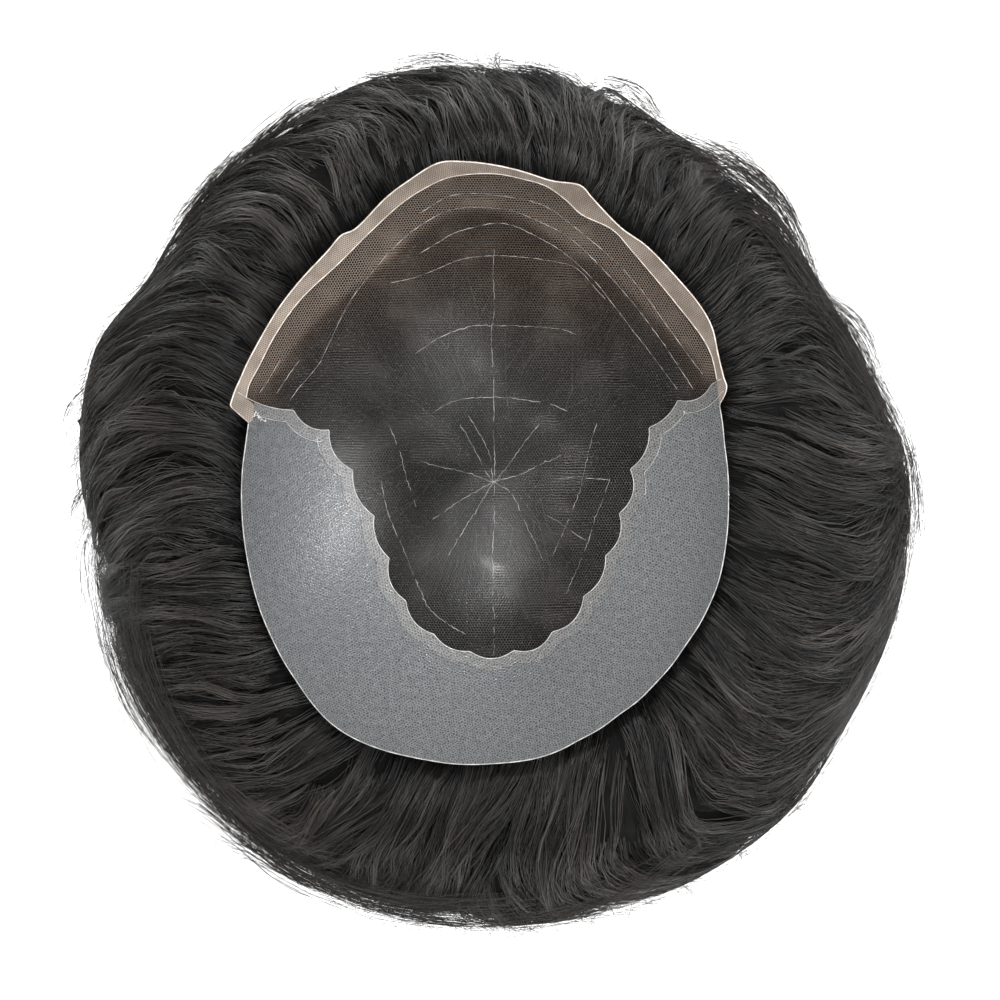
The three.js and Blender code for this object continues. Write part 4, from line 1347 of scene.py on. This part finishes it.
# the dark body of hair under the locks and the crown
turns = 240
az = np.arange(turns) * 360 / turns
rows = []
for share in (0.12, 0.25, 0.38, 0.5, 0.62, 0.74, 0.84, 0.92):
    rr, zz = under_bowl(az, share * bowl_reach(az), 3.0)
    lump = 0.4 * ripple(az, share, [(9, 2.0, 0.3, 1.0), (17, 1.2, 0.7, 0.8)])
    rows.append(np.column_stack([rr * np.cos(np.radians(az)), rr * np.sin(np.radians(az)), zz + lump]))
for s in np.r_[np.linspace(0.02, 1.0, 20), 1.08, 1.16]:
    deep = 2.8 + 3.2 * smooth_step(s, 0.05, 0.3) + 0.8 * smooth_step(s, 0.3, 0.6) - (4.4 + reach_more(az)) * smooth_step(s, 0.66, 0.98)
    lump = 0.3 * ripple(az, s, [(61, 2.0, 0.3, 1.0), (83, -1.2, 0.7, 0.8), (29, 1.5, 0.1, 1.0)])
    p = on_form(az, np.full(turns, s), deep + lump + 0.8 * relief(came_from(az, np.full(turns, s))[0], s))
    p[:, 2] = np.maximum(p[:, 2], 1.0)
    rows.append(p)
rim = rows[-1]
for share in (0.8, 0.55, 0.3):
    rows.append(np.column_stack([rim[:, 0] * share, rim[:, 1] * share, np.full(turns, 0.8)]))
count = len(rows)
verts = np.vstack([[[0, 0, BED + WALL - 3.0]]] + rows + [[[0, 0, 0.8]]])
i = np.arange(turns)
j = (i + 1) % turns
quads = np.vstack(
    [np.column_stack([1 + k * turns + i, 1 + (k + 1) * turns + i, 1 + (k + 1) * turns + j, 1 + k * turns + j]) for k in range(count - 1)]
)
first = np.column_stack([np.zeros(turns, int), 1 + i, 1 + j])
last = np.column_stack([np.full(turns, 1 + count * turns), 1 + (count - 1) * turns + j, 1 + (count - 1) * turns + i])

lie = np.zeros((len(verts), 2))
k = np.arange(count)
ring_s = np.r_[np.full(8, -1.0), np.linspace(0.02, 1.0, 20), 1.08, 1.16, np.full(3, 1.2)]
grid_az, grid_s = np.meshgrid(az, ring_s)
home, far = came_from(grid_az.ravel(), grid_s.ravel())
home = np.where(grid_s.ravel() < 0, grid_az.ravel(), home)
far = np.where(grid_s.ravel() < 0, np.repeat(np.r_[0.12, 0.25, 0.38, 0.5, 0.62, 0.74, 0.84, 0.92, np.zeros(count - 8)], turns) * 90 - 90, far)
lie[1:-1] = np.column_stack([home, far])
lie[0], lie[-1] = (0, -90), (0, 200)


def corner_lie(faces):
    got = lie[faces]
    turn_ = got[..., 0]
    got[..., 0] = turn_[:, :1] + (turn_ - turn_[:, :1] + 180) % 360 - 180
    return (got * [math.radians(90), 1]).reshape(-1, 2)


lie_uv = np.vstack([corner_lie(f) for f in (quads, first, last)])
mass = add_mesh("hair_mass", verts, [quads, first, last], MASS, {"lie": lie_uv}, None)
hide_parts("hair_crown")

# hair under the net, seen through it
r = np.random.default_rng(91)
n = int(700 * SHARE)
rad = np.sqrt(r.uniform(0.002, 1, n)) * 0.93
az = r.uniform(0, 360, n)
u = np.linspace(0, 1, 7)[None, :]
length = r.uniform(22, 45, n)[:, None]
way = np.radians(az + r.normal(0, 25, n) + 30 * np.sin(np.radians(az * 3)))[:, None] + r.normal(0, 0.5, n)[:, None] * u
x0 = (rad * bowl_reach(az) * np.cos(np.radians(az)))[:, None]
y0 = (rad * bowl_reach(az) * np.sin(np.radians(az)))[:, None]
x = x0 + np.cumsum(np.cos(way) * length / 6, 1)
y = y0 + np.cumsum(np.sin(way) * length / 6, 1)
a = np.degrees(np.arctan2(y, x))
share = np.minimum(np.hypot(x, y) / bowl_reach(a), 0.93)
rr, zz = under_bowl(a, share * bowl_reach(a), 1.3 + r.uniform(0, 1.7, n)[:, None] + 0 * u)
paths = np.stack([rr * np.cos(np.radians(a)), rr * np.sin(np.radians(a)), zz], -1)
crown = hair_piece("crown_hairs", [(paths, np.full(paths.shape[:2], 0.10), r.uniform(0.0, 0.3, n))], DEEP)

# ------------------------------------------------------------------ the floor

m = Nodes("floor")
m.set(Base_Color=(0.9, 0.9, 0.9, 1), Roughness=0.9)
m.shader.inputs["Specular IOR Level"].default_value = 0.1
m.shader.inputs["Emission Color"].default_value = (1, 1, 1, 1)
m.shader.inputs["Emission Strength"].default_value = 0.5
fm = bpy.data.meshes.new("floor")
fm.from_pydata([(-4, -4, 0), (4, -4, 0), (4, 4, 0), (-4, 4, 0)], [], [(0, 1, 2, 3)])
m.material.cycles.emission_sampling = "NONE"
fm.materials.append(m.material)
floor = bpy.data.objects.new("floor", fm)
scene.collection.objects.link(floor)
